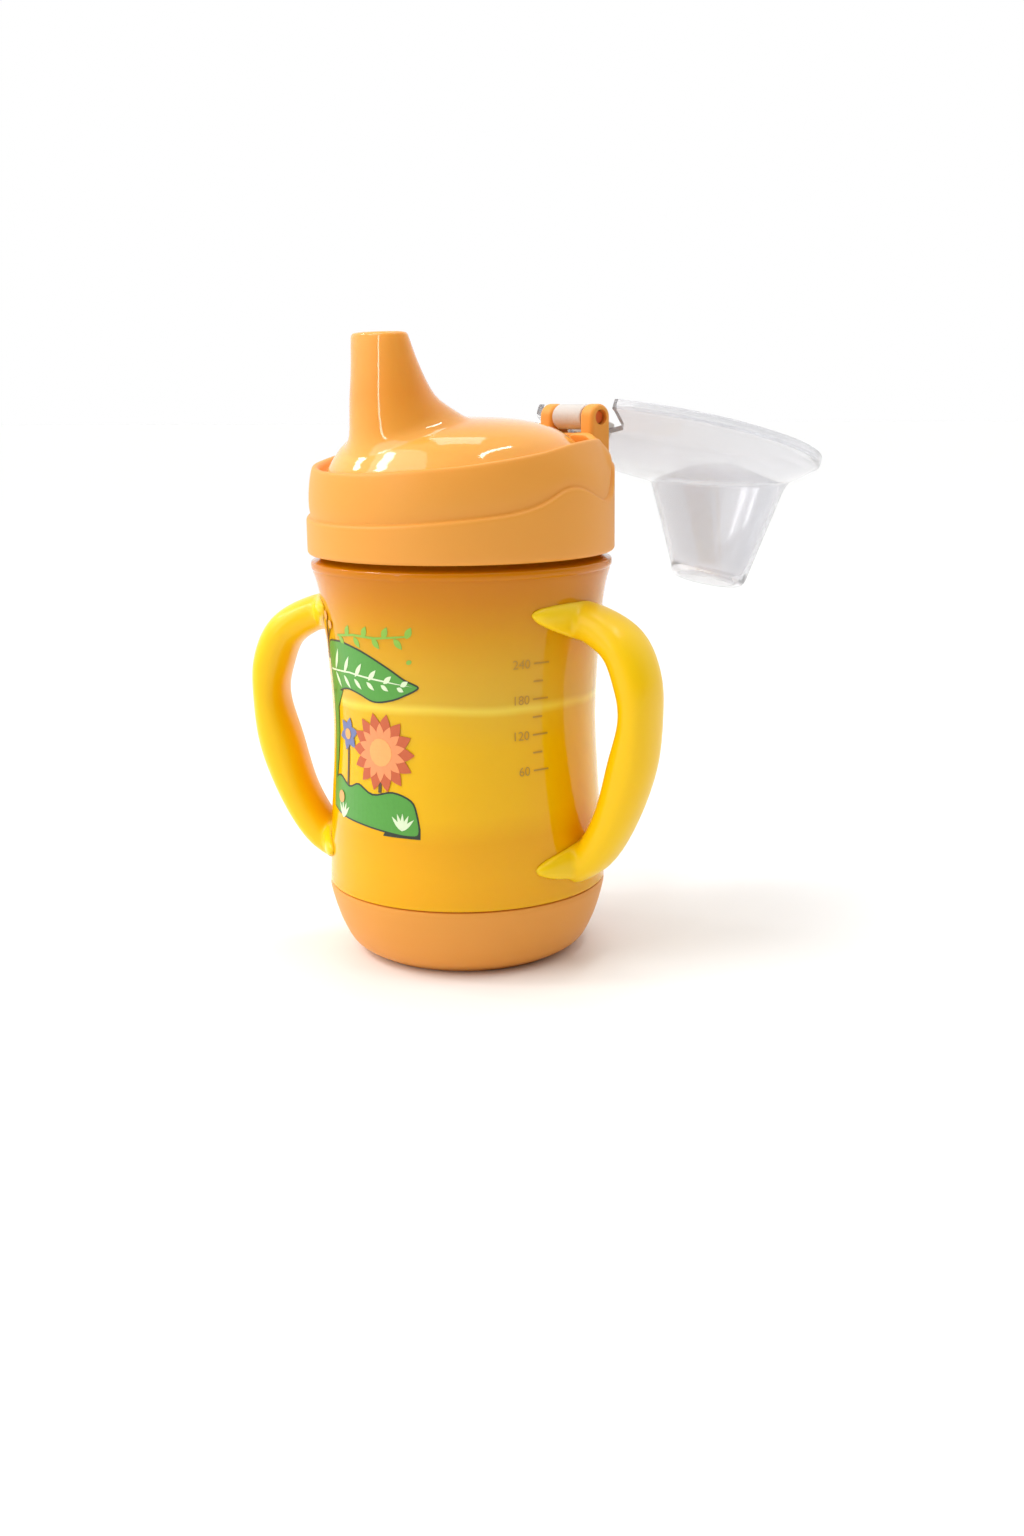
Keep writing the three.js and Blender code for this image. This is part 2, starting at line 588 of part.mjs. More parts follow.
function pocketRings(wall, lowZ) {
  const endZ = TIP_Z + POCKET_OVER - wall;
  const endY = -(SPOUT_OFF + POCKET_OUT);
  const rootY = -(SPOUT_OFF - ROOT_IN);
  const rootZ = COVER_Z + COVER_DISH - ROOT_DOWN;
  const endRing = (z, inset) => ringAt(endY, z, POCKET_HALF_X - inset - wall,
    POCKET_HALF_Y - inset - wall);
  const footRing = ringAt(rootY, lowZ + COVER_SLOPE * rootY, ROOT_HALF_X + 0.4 - wall,
    ROOT_HALF_Y + 0.4 - wall);
  footRing.v.z = COVER_SLOPE;
  return [
    footRing,
    ringAt(rootY, rootZ, ROOT_HALF_X - wall, ROOT_HALF_Y - wall),
    endRing(endZ - 0.8 * POCKET_EDGE, 0),
    endRing(endZ - 0.2 * POCKET_EDGE, 0.4 * POCKET_EDGE),
    endRing(endZ, POCKET_EDGE),
  ];
}

function makeCover() {
  const lowZ = COVER_Z + COVER_BAND;
  const skin = coverSkin(0).add(lofted(pocketRings(0, lowZ), 28));
  const room = coverSkin(-COVER_WALL).add(lofted(pocketRings(COVER_WALL, lowZ - 1), 28));
  const notchX = EAR_X + EAR_T + 2 * GAP;
  const notchY = PIN_OFF - EAR_HALF - NOTCH_GAP;
  const notch = box(-notchX, notchX, notchY, COVER_R + 2, COVER_Z - 20, COVER_Z + 20);
  const halfW = KNUCKLE_W / 2;
  const arm = box(-halfW, halfW, PIN_OFF - ARM_IN, PIN_OFF, PIN_Z - ARM_BELOW,
    PIN_Z + ARM_ABOVE);
  const knuckle = crossBar(KNUCKLE_R, halfW, PIN_OFF, PIN_Z);
  const cover = skin.subtract(room).subtract(notch).add(arm).add(knuckle);
  return cover.subtract(crossBar(PIN_R + RUN_GAP, halfW + 1, PIN_OFF, PIN_Z));
}

// ---------------------------------------------------------------- colours
const plastic = (color, roughness) => new THREE.MeshStandardMaterial({
  color, roughness, metalness: 0,
});
const amber = plastic('#dba51c', 0.12);
amber.transparent = true;
amber.opacity = 0.75;
const yellow = plastic('#f3c718', 0.3);
const apricot = plastic('#efa64d', 0.55);
const apricotGloss = plastic('#f6ae55', 0.18);
const silicone = plastic('#f3f1ec', 0.6);
const deepOrange = plastic('#e57225', 0.4);
const clear = plastic('#dddde0', 0.15);
clear.transparent = true;
clear.opacity = 0.4;

// ---------------------------------------------------------------- assembly
function piece(name, solid, material) {
  const mesh = new THREE.Mesh(toGeometry(solid), material);
  mesh.name = name;
  return mesh;
}

const cup = new THREE.Group();
cup.add(piece('cup_body', makeCupBody(), amber));
cup.add(piece('base_boot', makeBoot(), apricot));
const rightHandle = piece('handle_right', makeHandle(), yellow);
rightHandle.rotation.z = THREE.MathUtils.degToRad(-HANDLE_SPLAY);
const leftHandle = piece('handle_left', makeHandle(), yellow);
leftHandle.rotation.z = THREE.MathUtils.degToRad(180 + HANDLE_SPLAY);
cup.add(rightHandle, leftHandle);

const lid = new THREE.Group();
lid.rotation.z = THREE.MathUtils.degToRad(LID_TURN);
lid.add(piece('collar', makeCollar(), apricot));
lid.add(piece('spout_dome', makeDome(), apricotGloss));
lid.add(piece('spill_valve', makeValve(), silicone));
lid.add(piece('hinge_pin', makePin(), deepOrange));

// the cover turns about the pin, from closed to lying open on its stop
const cover = new THREE.Group();
cover.position.set(0, PIN_OFF, PIN_Z);
cover.rotation.x = THREE.MathUtils.degToRad(-COVER_OPEN);
const flipCover = piece('flip_cover', makeCover(), clear);
flipCover.position.set(0, -PIN_OFF, -PIN_Z);
cover.add(flipCover);
lid.add(cover);

const group = new THREE.Group();
group.add(cup, piece('lid_seal', makeSeal(), silicone), lid);

export default group;
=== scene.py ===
"""Toddler's sippy cup: its fine surfaces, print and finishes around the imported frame."""
import contextlib
import json
import math

import bmesh
import bpy
from mathutils import Matrix, Vector


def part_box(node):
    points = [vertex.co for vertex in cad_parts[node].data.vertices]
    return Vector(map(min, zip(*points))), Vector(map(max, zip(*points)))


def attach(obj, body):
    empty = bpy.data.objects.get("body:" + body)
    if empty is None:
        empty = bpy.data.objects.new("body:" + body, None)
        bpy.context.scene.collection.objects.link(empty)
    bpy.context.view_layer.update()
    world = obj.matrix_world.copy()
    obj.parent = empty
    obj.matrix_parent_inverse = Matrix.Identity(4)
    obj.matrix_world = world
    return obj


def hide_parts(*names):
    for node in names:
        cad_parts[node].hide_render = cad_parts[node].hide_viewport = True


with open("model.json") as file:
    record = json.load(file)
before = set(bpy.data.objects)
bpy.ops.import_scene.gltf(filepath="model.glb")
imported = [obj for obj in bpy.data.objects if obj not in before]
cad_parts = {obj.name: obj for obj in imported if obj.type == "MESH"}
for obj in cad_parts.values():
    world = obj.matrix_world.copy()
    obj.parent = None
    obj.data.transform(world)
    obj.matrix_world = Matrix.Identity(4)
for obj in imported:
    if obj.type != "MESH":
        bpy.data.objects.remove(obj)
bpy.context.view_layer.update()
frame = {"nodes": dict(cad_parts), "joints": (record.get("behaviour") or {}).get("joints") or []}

MM = 0.001
MERGE = 1e-6


# ---------- sizes, in millimetres
def top_mm(node):
    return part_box(node)[1] / MM


def low_mm(node):
    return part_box(node)[0] / MM


# read from the frame
BEAD_R = top_mm("cup_body").x
NECK_TOP = top_mm("cup_body").z
SKIRT_Z = low_mm("cup_body").z
BODY_R = top_mm("base_boot").x
BOOT_H = top_mm("base_boot").z
COLLAR_Z = low_mm("collar").z
COLLAR_R = -low_mm("collar").x
TIP_Z = top_mm("spout_dome").z
FLANGE_Z = low_mm("spout_dome").z
JOINTS = {j["name"]: j for j in frame["joints"]}
PIN = Vector(JOINTS["cover_flip"]["pos_m"]) / MM
PIN_OFF = math.hypot(PIN.x, PIN.y)
PIN_Z = PIN.z
COVER_OPEN = JOINTS["cover_flip"]["range_deg"][1]
LID_TURN = math.degrees(math.atan2(PIN.y, PIN.x)) - 90

# cup, boot and handles
GAP = 0.3
WALL = 2.2
BODY_TOP = COLLAR_Z - 1.2
SIDE_H = BODY_TOP - BOOT_H
WAIST_R = BODY_R - 2
FLOOR_Z = BOOT_H + 3.3
NECK_R = COLLAR_R - 3.55
THREAD_STARTS = 4
THREAD_LEAD = 16
THREAD_ARC = 80
THREAD_RIDGE = 0.9
THREAD_UP = 4.9
FLOOR_CORNER = 3.6
GRIP_REACH = BODY_R + 14.8
GRIP_TOP = BODY_TOP - 13.4
GRIP_LOW = BOOT_H + 5.3
HANDLE_SPLAY = 11.5

# lid
RIM_Z = COLLAR_Z + 24.4
RIM_R = COLLAR_R - 1.7
SHELF_DROP = 1.5
FLANGE_TOP = FLANGE_Z + 1.6
FLANGE_R = COLLAR_R - 2.45
DOME_R = COLLAR_R - 4.4
DOME_H = 17.1
DOME_WALL = 1.8
SPOUT_OFF = DOME_R - 10.4
TIP_HALF_X = 8.5
TIP_HALF_Y = 5.4
EAR_X = 5.5
EAR_T = 4.6
EAR_HALF = 3.2
KNUCKLE_R = 3.1
KNUCKLE_HALF = 5.2
PIN_HOLE_R = 1.85

# cover
COVER_R = COLLAR_R + 1
COVER_Z = RIM_Z - 2.2
COVER_SLOPE = 0.105
COVER_BAND = 2.9
COVER_DISH = 13.1
COVER_WALL = 1.3
POCKET_HALF_X = 12
POCKET_HALF_Y = 8.5

# a ring this small stands for a point on the axis
AXIS_R = 0.02

# the lid is drawn with its hinge on +Y and the cover shut; these stand them as they are packed
LID_FRAME = Matrix.Rotation(math.radians(LID_TURN), 4, "Z")
SWING = (
    Matrix.Translation((0, PIN_OFF * MM, PIN_Z * MM))
    @ Matrix.Rotation(math.radians(-COVER_OPEN), 4, "X")
    @ Matrix.Translation((0, -PIN_OFF * MM, -PIN_Z * MM))
)


# ---------- camera, light and floor
CAMERA_AT = (0.1564, -0.3655, 0.1366)
CAMERA_HEADING = 21.5003
CAMERA_DIP = 13.07
CAMERA_ROLL = -0.71
KEY_POWER = 1.05
KEY_SPREAD = 46
BRIGHT_SIDE = (-0.62, 0.56, 0.55)
FLOOR_SIZE = 12


def turn_about(axis, degrees):
    return Matrix.Rotation(math.radians(degrees), 4, axis)


def make_camera():
    data = bpy.data.cameras.new("camera")
    data.lens = 38.3
    data.clip_start = 0.01
    camera = bpy.data.objects.new("camera", data)
    bpy.context.scene.collection.objects.link(camera)
    camera.matrix_world = (
        Matrix.Translation(CAMERA_AT) @ turn_about("Z", CAMERA_HEADING)
        @ turn_about("X", 90 - CAMERA_DIP) @ turn_about("Z", CAMERA_ROLL)
    )
    bpy.context.scene.camera = camera


def lamp(name, kind, power, aim, at=(0, 0, 0)):
    """Adds a light that shines along aim, and gives back its data."""
    data = bpy.data.lights.new(name, kind)
    data.energy = power
    made = bpy.data.objects.new(name, data)
    bpy.context.scene.collection.objects.link(made)
    made.location = at
    made.rotation_euler = Vector(aim).to_track_quat("-Z", "Y").to_euler()
    return data


def area_light(name, at, target, size, power):
    data = lamp(name, "AREA", power, Vector(target) - Vector(at), at)
    data.shape = "RECTANGLE"
    data.size, data.size_y = size


def make_world():
    """A white cyclorama behind and to the left, falling off to a dimmer room at the right."""
    world = bpy.data.worlds.new("studio")
    bpy.context.scene.world = world
    world.use_nodes = True
    tree = world.node_tree
    where = add_node(tree, "ShaderNodeTexCoord")
    facing = add_node(tree, "ShaderNodeVectorMath", {0: where.outputs["Generated"]},
                      operation="DOT_PRODUCT")
    facing.inputs[1].default_value = BRIGHT_SIDE
    fall = add_node(tree, "ShaderNodeMapRange", {"Value": facing.outputs["Value"]},
                    interpolation_type="SMOOTHSTEP", in_From_Min=-0.75, in_From_Max=0.42,
                    in_To_Min=0.1, in_To_Max=1.0)
    sky = tree.nodes["Background"]
    tree.links.new(fall.outputs["Result"], sky.inputs["Strength"])
    sky.inputs["Color"].default_value = (1, 1, 1, 1)


def make_stage():
    bpy.context.scene.view_settings.view_transform = "Standard"
    make_world()
    lamp("key", "SUN", KEY_POWER, (0.62, 0.5, -0.78)).angle = math.radians(KEY_SPREAD)
    lid, middle = (0, 0, 0.12), (0, 0, 0.075)
    area_light("overhead_strip", (0.27, 0, 0.77), lid, (0.4, 0.035), 0.9)
    area_light("overhead_box", (-0.07, 0.16, 0.82), lid, (0.26, 0.26), 0.8)
    area_light("left_window", (-0.46, -0.2, 0.62), lid, (0.09, 0.16), 0.7)
    area_light("low_left_window", (-0.59, 0.03, 0.52), lid, (0.07, 0.12), 0.4)
    area_light("front_window", (-0.35, -0.75, 0.3), middle, (0.05, 0.3), 0.5)
    bpy.ops.mesh.primitive_plane_add(size=FLOOR_SIZE, location=(0, 0, 0))
    floor = bpy.context.object
    floor.name = "floor"
    dress(floor, finish_named("white_paper_sweep", Base_Color=linear("#f7f7f6"),
                              Roughness=0.6)[0])


# ---------- modelling helpers
def clear_selection():
    active = bpy.context.object
    if active and active.mode != "OBJECT":
        bpy.ops.object.mode_set(mode="OBJECT")
    bpy.ops.object.select_all(action="DESELECT")


def pick(*objects):
    clear_selection()
    for each in objects:
        each.select_set(True)
    bpy.context.view_layer.objects.active = objects[0]


@contextlib.contextmanager
def editing(piece):
    """Edit mode on one piece with all of it selected, and object mode again afterwards."""
    pick(piece)
    bpy.ops.object.mode_set(mode="EDIT")
    bpy.ops.mesh.select_all(action="SELECT")
    yield
    bpy.ops.object.mode_set(mode="OBJECT")


def face_outwards(piece):
    with editing(piece):
        bpy.ops.mesh.normals_make_consistent(inside=False)


def curve_through(points, steps):
    """Points of a smooth curve through a few given ones."""
    padded = [points[0], *points, points[-1]]
    made = []
    for i in range(len(points) - 1):
        before, a, b, after = (Vector(p) for p in padded[i:i + 4])
        for k in range(steps):
            t = k / steps
            made.append(0.5 * (
                2 * a + (b - before) * t
                + (2 * before - 5 * a + 4 * b - after) * t * t
                + (3 * a - before - 3 * b + after) * t ** 3
            ))
    return [tuple(p) for p in (*made, Vector(points[-1]))]


def look_up(points, x):
    """Straight-line value at x in a list of (x, value) that rises in x."""
    if x <= points[0][0]:
        return points[0][1]
    for (x0, v0), (x1, v1) in zip(points, points[1:]):
        if x <= x1:
            return v0 + (v1 - v0) * (x - x0) / (x1 - x0)
    return points[-1][1]


def eased(share):
    share = min(max(share, 0), 1)
    return share * share * (3 - 2 * share)


def raised(rule, lift):
    """The same rule of height, lifted."""
    return lambda x, y: rule(x, y) + lift


def ring(half_x, z, half_y=None, y=0.0, rule=None):
    """One level of a lofted piece; rule(x, y) gives a height where the ring isn't flat."""
    return {"hx": half_x, "hy": half_x if half_y is None else half_y, "y": y, "z": z,
            "rule": rule}


def height_at(level, direction):
    if level["rule"] is None:
        return level["z"]
    return level["rule"](direction[0] * level["hx"], level["y"] + direction[1] * level["hy"])


def between(a, b, share):
    """A ring part way from a to b, its height part way between theirs in every direction."""
    mix = {k: a[k] + (b[k] - a[k]) * share for k in ("hx", "hy", "y")}

    def rule(x, y):
        way = (x / mix["hx"], (y - mix["y"]) / mix["hy"])
        low, high = height_at(a, way), height_at(b, way)
        return low + (high - low) * share

    return {**mix, "z": 0, "rule": rule}


def circle(name, sides, radius=1.0, capped=True):
    clear_selection()
    bpy.ops.mesh.primitive_circle_add(
        vertices=sides, radius=radius * MM, fill_type="NGON" if capped else "NOTHING")
    made = bpy.context.object
    made.name = made.data.name = name
    return made


def flat_face(name, corners):
    """One face through the given corners."""
    made = circle(name, len(corners))
    for vertex, corner in zip(made.data.vertices, corners):
        vertex.co = corner
    return made


def loft(name, levels, segments, capped=True, looped=False):
    """A piece drawn up ring by ring: a circle, extruded and resized to each level in turn."""
    first = levels[0]
    piece = circle(name, segments, first["hx"], capped)
    last = {**first, "hy": first["hx"], "y": 0, "z": 0}
    with editing(piece):
        for index, level in enumerate(levels):
            if index:
                bpy.ops.mesh.extrude_region_move()
            centre = (0, last["y"] * MM, last["z"] * MM)
            stretch = (level["hx"] / last["hx"], level["hy"] / last["hy"], 1)
            bpy.ops.transform.resize(value=stretch, center_override=centre)
            shift = (0, (level["y"] - last["y"]) * MM, (level["z"] - last["z"]) * MM)
            bpy.ops.transform.translate(value=shift)
            if level["rule"] is not None or last["rule"] is not None:
                set_heights(piece, level)
            last = level
        bpy.ops.mesh.select_all(action="SELECT")
        if looped:
            bpy.ops.mesh.remove_doubles(threshold=MERGE)
        bpy.ops.mesh.normals_make_consistent(inside=False)
    return piece


def set_heights(piece, level):
    """Gives the selected ring its heights, which vary round it in a way no operator draws."""
    shell = bmesh.from_edit_mesh(piece.data)
    for vertex in shell.verts:
        if vertex.select:
            x, y = vertex.co.x / MM, vertex.co.y / MM
            vertex.co.z = (level["z"] if level["rule"] is None else level["rule"](x, y)) * MM
    bmesh.update_edit_mesh(piece.data)


def swept(name, sides, count, spot):
    """A closed bar drawn up from a circle: spot(index, a, b) places its point (a, b)."""
    bar = circle(name, sides)
    with editing(bar):
        shell = bmesh.from_edit_mesh(bar.data)
        outline = [(v.co.x / MM, v.co.y / MM) for v in shell.verts]
        for index in range(count):
            if index:
                bpy.ops.mesh.extrude_region_move()
            shell = bmesh.from_edit_mesh(bar.data)
            chosen = [v for v in shell.verts if v.select]
            for vertex, (a, b) in zip(chosen, outline):
                vertex.co = spot(index, a, b) * MM
            bmesh.update_edit_mesh(bar.data)
        bpy.ops.mesh.select_all(action="SELECT")
        bpy.ops.mesh.normals_make_consistent(inside=False)
    return bar


def turned(name, outline, segments):
    """A solid of revolution from a closed outline of (radius, height)."""
    levels = [ring(max(r, AXIS_R), z) for r, z in outline]
    if outline[0][0] == 0:
        return loft(name, levels, segments)
    return loft(name, [*levels, levels[0]], segments, capped=False, looped=True)


def inner_rings(levels, wall):
    """The inside of a wall: each ring moved in square to the outline it stands on."""
    made = []
    for index, level in enumerate(levels):
        before = levels[max(index - 1, 0)]
        after = levels[min(index + 1, len(levels) - 1)]
        moves = []
        for size, ways in (("hx", ((1, 0), (-1, 0))), ("hy", ((0, 1), (0, -1)))):
            run = after[size] - before[size]
            rise = sum(height_at(after, w) - height_at(before, w) for w in ways) / 2
            length = math.hypot(run, rise)
            moves.append((wall * rise / length, wall * -run / length))
        drop = max(0.0, (moves[0][1] + moves[1][1]) / 2)
        made.append(lowered(level, moves[0][0], moves[1][0], drop))
    return made


def lowered(level, in_x, in_y, drop):
    """The same ring, smaller and lower."""
    small = {**level, "hx": level["hx"] - in_x, "hy": level["hy"] - in_y}

    def rule(x, y):
        back_x = x * level["hx"] / small["hx"]
        back_y = level["y"] + (y - level["y"]) * level["hy"] / small["hy"]
        return level["rule"](back_x, back_y) - drop

    if level["rule"] is None:
        return {**small, "z": level["z"] - drop}
    return {**small, "rule": rule}


def fill_end(piece, z):
    """Fills a loft's flat open end at height z with a grid of faces."""
    with editing(piece):
        bpy.ops.mesh.select_all(action="DESELECT")
        shell = bmesh.from_edit_mesh(piece.data)
        rim = [e for e in shell.edges
               if e.is_boundary and all(abs(v.co.z - z * MM) < 10 * MERGE for v in e.verts)]
        for edge in rim:
            edge.select = True
        bmesh.update_edit_mesh(piece.data)
        bpy.ops.mesh.select_mode(type="EDGE")
        bpy.ops.mesh.fill_grid(span=len(rim) // 4)
        bpy.ops.mesh.select_all(action="SELECT")
        bpy.ops.mesh.normals_make_consistent(inside=False)
        bpy.ops.mesh.select_mode(type="VERT")


def apply_modifier(piece, kind, **settings):
    pick(piece)
    modifier = piece.modifiers.new(kind.lower(), kind)
    for key, value in settings.items():
        setattr(modifier, key, value)
    bpy.ops.object.modifier_apply(modifier=modifier.name)


def cut(piece, *tools, operation="DIFFERENCE"):
    for tool in tools:
        apply_modifier(piece, "BOOLEAN", object=tool, operation=operation, solver="EXACT")
        bpy.data.objects.remove(tool)


def place(piece, matrix):
    piece.data.transform(matrix)
    return piece


def shift_mm(x, y, z):
    return Matrix.Translation((x * MM, y * MM, z * MM))


def smooth(piece, angle):
    pick(piece)
    bpy.ops.object.shade_smooth_by_angle(angle=math.radians(angle))


def tidy_shell(piece, angle=36):
    """Merges doubled vertices, then shades smooth all but the edges sharper than the angle."""
    with editing(piece):
        bpy.ops.mesh.remove_doubles(threshold=2 * MERGE)
        bpy.ops.mesh.dissolve_degenerate(threshold=MERGE)
    smooth(piece, angle)


def upright(name, radius, x, y, z0, z1, segments=24):
    """A round bar along Z."""
    bpy.ops.mesh.primitive_cylinder_add(
        vertices=segments, radius=radius * MM, depth=(z1 - z0) * MM,
        location=(x * MM, y * MM, (z0 + z1) / 2 * MM))
    return settled(name)


def block(name, low, high, edge=0.0):
    """A box between two corners, its edges rounded."""
    middle = [(a + b) / 2 * MM for a, b in zip(low, high)]
    bpy.ops.mesh.primitive_cube_add(size=1, location=middle)
    bpy.context.object.scale = [(b - a) * MM for a, b in zip(low, high)]
    made = settled(name)
    if edge:
        with editing(made):
            bpy.ops.mesh.bevel(offset=edge * MM, segments=4, affect="EDGES")
    return made


def settled(name):
    """The piece just added, named, with its place and size put into its mesh."""
    made = bpy.context.object
    made.name = name
    pick(made)
    bpy.ops.object.transform_apply(location=True, rotation=True, scale=True)
    return made


def joined(main, *others):
    pick(main, *others)
    bpy.ops.object.join()
    return main


def deliver(piece, body, node=None):
    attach(piece, body)
    if node:
        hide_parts(node)
    return piece


# ---------- cup and boot
def side_line():
    """The waisted side as (radius, height), from the boot's edge to the bead."""
    shoulder_r, shoulder_z = WAIST_R + 1.7, BODY_TOP - 12.4
    return curve_through([
        (BODY_R, BOOT_H + GAP), (BODY_R - 0.4, BOOT_H + 0.12 * SIDE_H),
        (WAIST_R + 0.8, BOOT_H + 0.28 * SIDE_H), (WAIST_R, BOOT_H + 0.5 * SIDE_H),
        (WAIST_R + 0.6, BOOT_H + 0.69 * SIDE_H), (shoulder_r, shoulder_z),
        (shoulder_r + 0.35 * (BEAD_R - shoulder_r), shoulder_z + 5.6),
        (BEAD_R - 0.5, BODY_TOP - 3.1),
    ], 8)


SIDE = side_line()


def side_radius(z):
    return look_up([(height, radius) for radius, height in SIDE], z)


def make_cup():
    def inside(z):
        return min(side_radius(z), NECK_R) - WALL

    inner = [(inside(z), z) for _, z in reversed(SIDE) if z > FLOOR_Z + 4.5]
    corner = [
        (inside(FLOOR_Z) - FLOOR_CORNER * (1 - math.cos(a)),
         FLOOR_Z + FLOOR_CORNER * (1 - math.sin(a)))
        for a in (math.radians(18 * k) for k in range(6))
    ]
    bead = [
        (BEAD_R - 0.35 + 0.35 * math.sin(a), BODY_TOP - 1.4 - 0.95 * math.cos(a))
        for a in (math.radians(30 * k) for k in range(7))
    ]
    skirt_r = BODY_R - 2.5
    outline = [
        (0, FLOOR_Z - WALL), (skirt_r - 2, FLOOR_Z - WALL), (skirt_r - 2, SKIRT_Z),
        (skirt_r, SKIRT_Z), (skirt_r, BOOT_H + GAP), *SIDE, *bead,
        (NECK_R + 0.8, BODY_TOP + 0.1), (NECK_R, BODY_TOP + 1),
        (NECK_R, NECK_TOP - 0.4), (NECK_R - 0.4, NECK_TOP), (NECK_R - WALL + 0.4, NECK_TOP),
        (NECK_R - WALL, NECK_TOP - 0.4), *inner, *corner, (0, FLOOR_Z),
    ]
    cup = turned("cup_wall", outline, 160)
    apply_modifier(cup, "WELD", merge_threshold=2 * MERGE)
    cup = joined(cup, *neck_threads())
    tidy_shell(cup, 40)
    return deliver(cup, "cup", "cup_body")


def neck_threads():
    """Thread ridges, each a bar with a rounded crest wound part way round the neck."""
    ridges = []
    slices = 24
    for start in range(THREAD_STARTS):
        bpy.ops.mesh.primitive_cylinder_add(vertices=10, radius=THREAD_RIDGE * MM,
                                            depth=THREAD_ARC * MM)
        bar = bpy.context.object
        with editing(bar):
            for k in range(1, slices):
                bpy.ops.mesh.select_all(action="SELECT")
                level = (k / slices - 0.5) * THREAD_ARC * MM
                bpy.ops.mesh.bisect(plane_co=(0, 0, level), plane_no=(0, 0, 1))
        for vertex in bar.data.vertices:
            along = vertex.co.z / MM + THREAD_ARC / 2
            share = along / THREAD_ARC
            angle = math.radians(along + 360 / THREAD_STARTS * start)
            radius = NECK_R + (vertex.co.x / MM) * min(1, 5 * share, 5 * (1 - share))
            z = BODY_TOP + THREAD_UP + THREAD_LEAD * along / 360 + vertex.co.y / MM
            vertex.co = Vector((radius * math.cos(angle), radius * math.sin(angle), z)) * MM
        face_outwards(bar)
        ridges.append(bar)
    return ridges


def make_boot():
    swell = 8.6
    foot_r = BODY_R - swell
    bowl = curve_through([
        (foot_r - 1, 0), (foot_r + 0.4 * swell - 0.2, 0.15 * BOOT_H),
        (foot_r + 0.67 * swell, 0.4 * BOOT_H), (foot_r + 0.86 * swell, 0.66 * BOOT_H),
        (BODY_R - 0.12, 0.9 * BOOT_H), (BODY_R - 0.02, BOOT_H - 0.6),
    ], 8)
    socket = BODY_R - 2.2
    outline = [
        (0, 0.7), (foot_r - 5, 0.7), (foot_r - 5.6, 0.2), (foot_r - 6, 0), *bowl,
        (BODY_R - 0.12, BOOT_H - 0.2), (BODY_R - 0.45, BOOT_H), (socket + 0.4, BOOT_H),
        (socket, BOOT_H - 0.4), (socket, SKIRT_Z - GAP), (BODY_R - 4.8, SKIRT_Z - GAP),
        (foot_r + 3.2, 0.42 * BOOT_H), (foot_r - 0.5, 3.6), (foot_r - 3.5, 2.2), (0, 2.2),
    ]
    boot = turned("boot_bowl", outline, 144)
    tidy_shell(boot, 35)
    return deliver(boot, "cup", "base_boot")


# ---------- handles
def cup_core():
    """Everything within the cup's side, to trim the handles' roots to it."""
    outline = [(0, 2), (BODY_R + 0.05, 2), *[(r + 0.05, z) for r, z in SIDE],
               (BEAD_R, BODY_TOP), (0, BODY_TOP)]
    return turned("cup_core", outline, 160)


def grip(name):
    """The bar of the grip, through points of (radius, height, half thickness, half width)."""
    span = GRIP_TOP - GRIP_LOW
    path = curve_through([
        (BODY_R - 6, GRIP_TOP + 0.5, 4.1, 6.5), (BODY_R + 2, GRIP_TOP - 0.6, 4.3, 6.7),
        (GRIP_REACH - 4.6, GRIP_TOP - 5.2, 4.7, 7.2), (GRIP_REACH - 0.8, GRIP_TOP - 13, 4.8, 7.3),
        (GRIP_REACH + 0.2, GRIP_LOW + 0.64 * span, 4.2, 7.3),
        (GRIP_REACH - 1.9, GRIP_LOW + 0.45 * span, 5.2, 7.3),
        (GRIP_REACH - 6.2, GRIP_LOW + 0.235 * span, 4.6, 7.2),
        (BODY_R + 2.4, GRIP_LOW + 4.4, 4.4, 6.9), (BODY_R - 6, GRIP_LOW - 0.6, 4.2, 6.5),
    ], 5)
    across = Vector((0, 1, 0))

    def spot(index, a, b):
        radius, height, thick, wide = path[index]
        ahead = path[min(index + 1, len(path) - 1)]
        behind = path[max(index - 1, 0)]
        out = across.cross(Vector((ahead[0] - behind[0], 0, ahead[1] - behind[1])).normalized())
        squared = 1 + 0.06 * math.sin(2 * math.atan2(b, a)) ** 2
        return (Vector((radius, 0, height)) + out * (a * thick * squared)
                + across * (b * wide * squared))

    return swept(name, 32, len(path), spot)


def leaf_pad(name, z, rise, reach):
    """A leaf-shaped pad on the cup's side, stepped round it from the grip to the tip."""
    root_angle, steps, thinnest = 12, 22, 0.12

    def spot(index, a, b):
        share = index / steps
        angle = math.radians(root_angle - (root_angle + reach) * share)
        width = max(5.6 * (1 - share ** 1.25) ** 0.5 * min(1, 0.6 + 2 * share), thinnest)
        thick = max((3.6 - 1.9 * min(1, 1.4 * share)) * min(1, width / 2.4) ** 0.5, thinnest)
        height = z + rise * share
        radius = side_radius(height) + a * thick
        return Vector((radius * math.cos(angle), radius * math.sin(angle), height + b * width))

    return swept(name, 24, steps + 1, spot)


def make_handles():
    """The right handle, melted into one skin with its pads, and its mirror image."""
    right = joined(grip("handle_grip_right"), leaf_pad("upper_pad", GRIP_TOP - 1.6, 4.2, 29),
                   leaf_pad("lower_pad", GRIP_LOW + 3.4, -0.2, 28))
    apply_modifier(right, "REMESH", mode="VOXEL", voxel_size=0.55 * MM)
    apply_modifier(right, "SMOOTH", factor=0.6, iterations=9)
    cut(right, cup_core())
    pick(right)
    bpy.ops.object.duplicate()
    left = bpy.context.object
    left.name = "handle_grip_left"
    splay = turn_about("Z", -HANDLE_SPLAY)
    place(right, splay)
    place(left, Matrix.Scale(-1, 4, Vector((1, 0, 0))) @ splay)
    face_outwards(left)
    for handle, node in ((right, "handle_right"), (left, "handle_left")):
        smooth(handle, 50)
        deliver(handle, "cup", node)
    return right, left


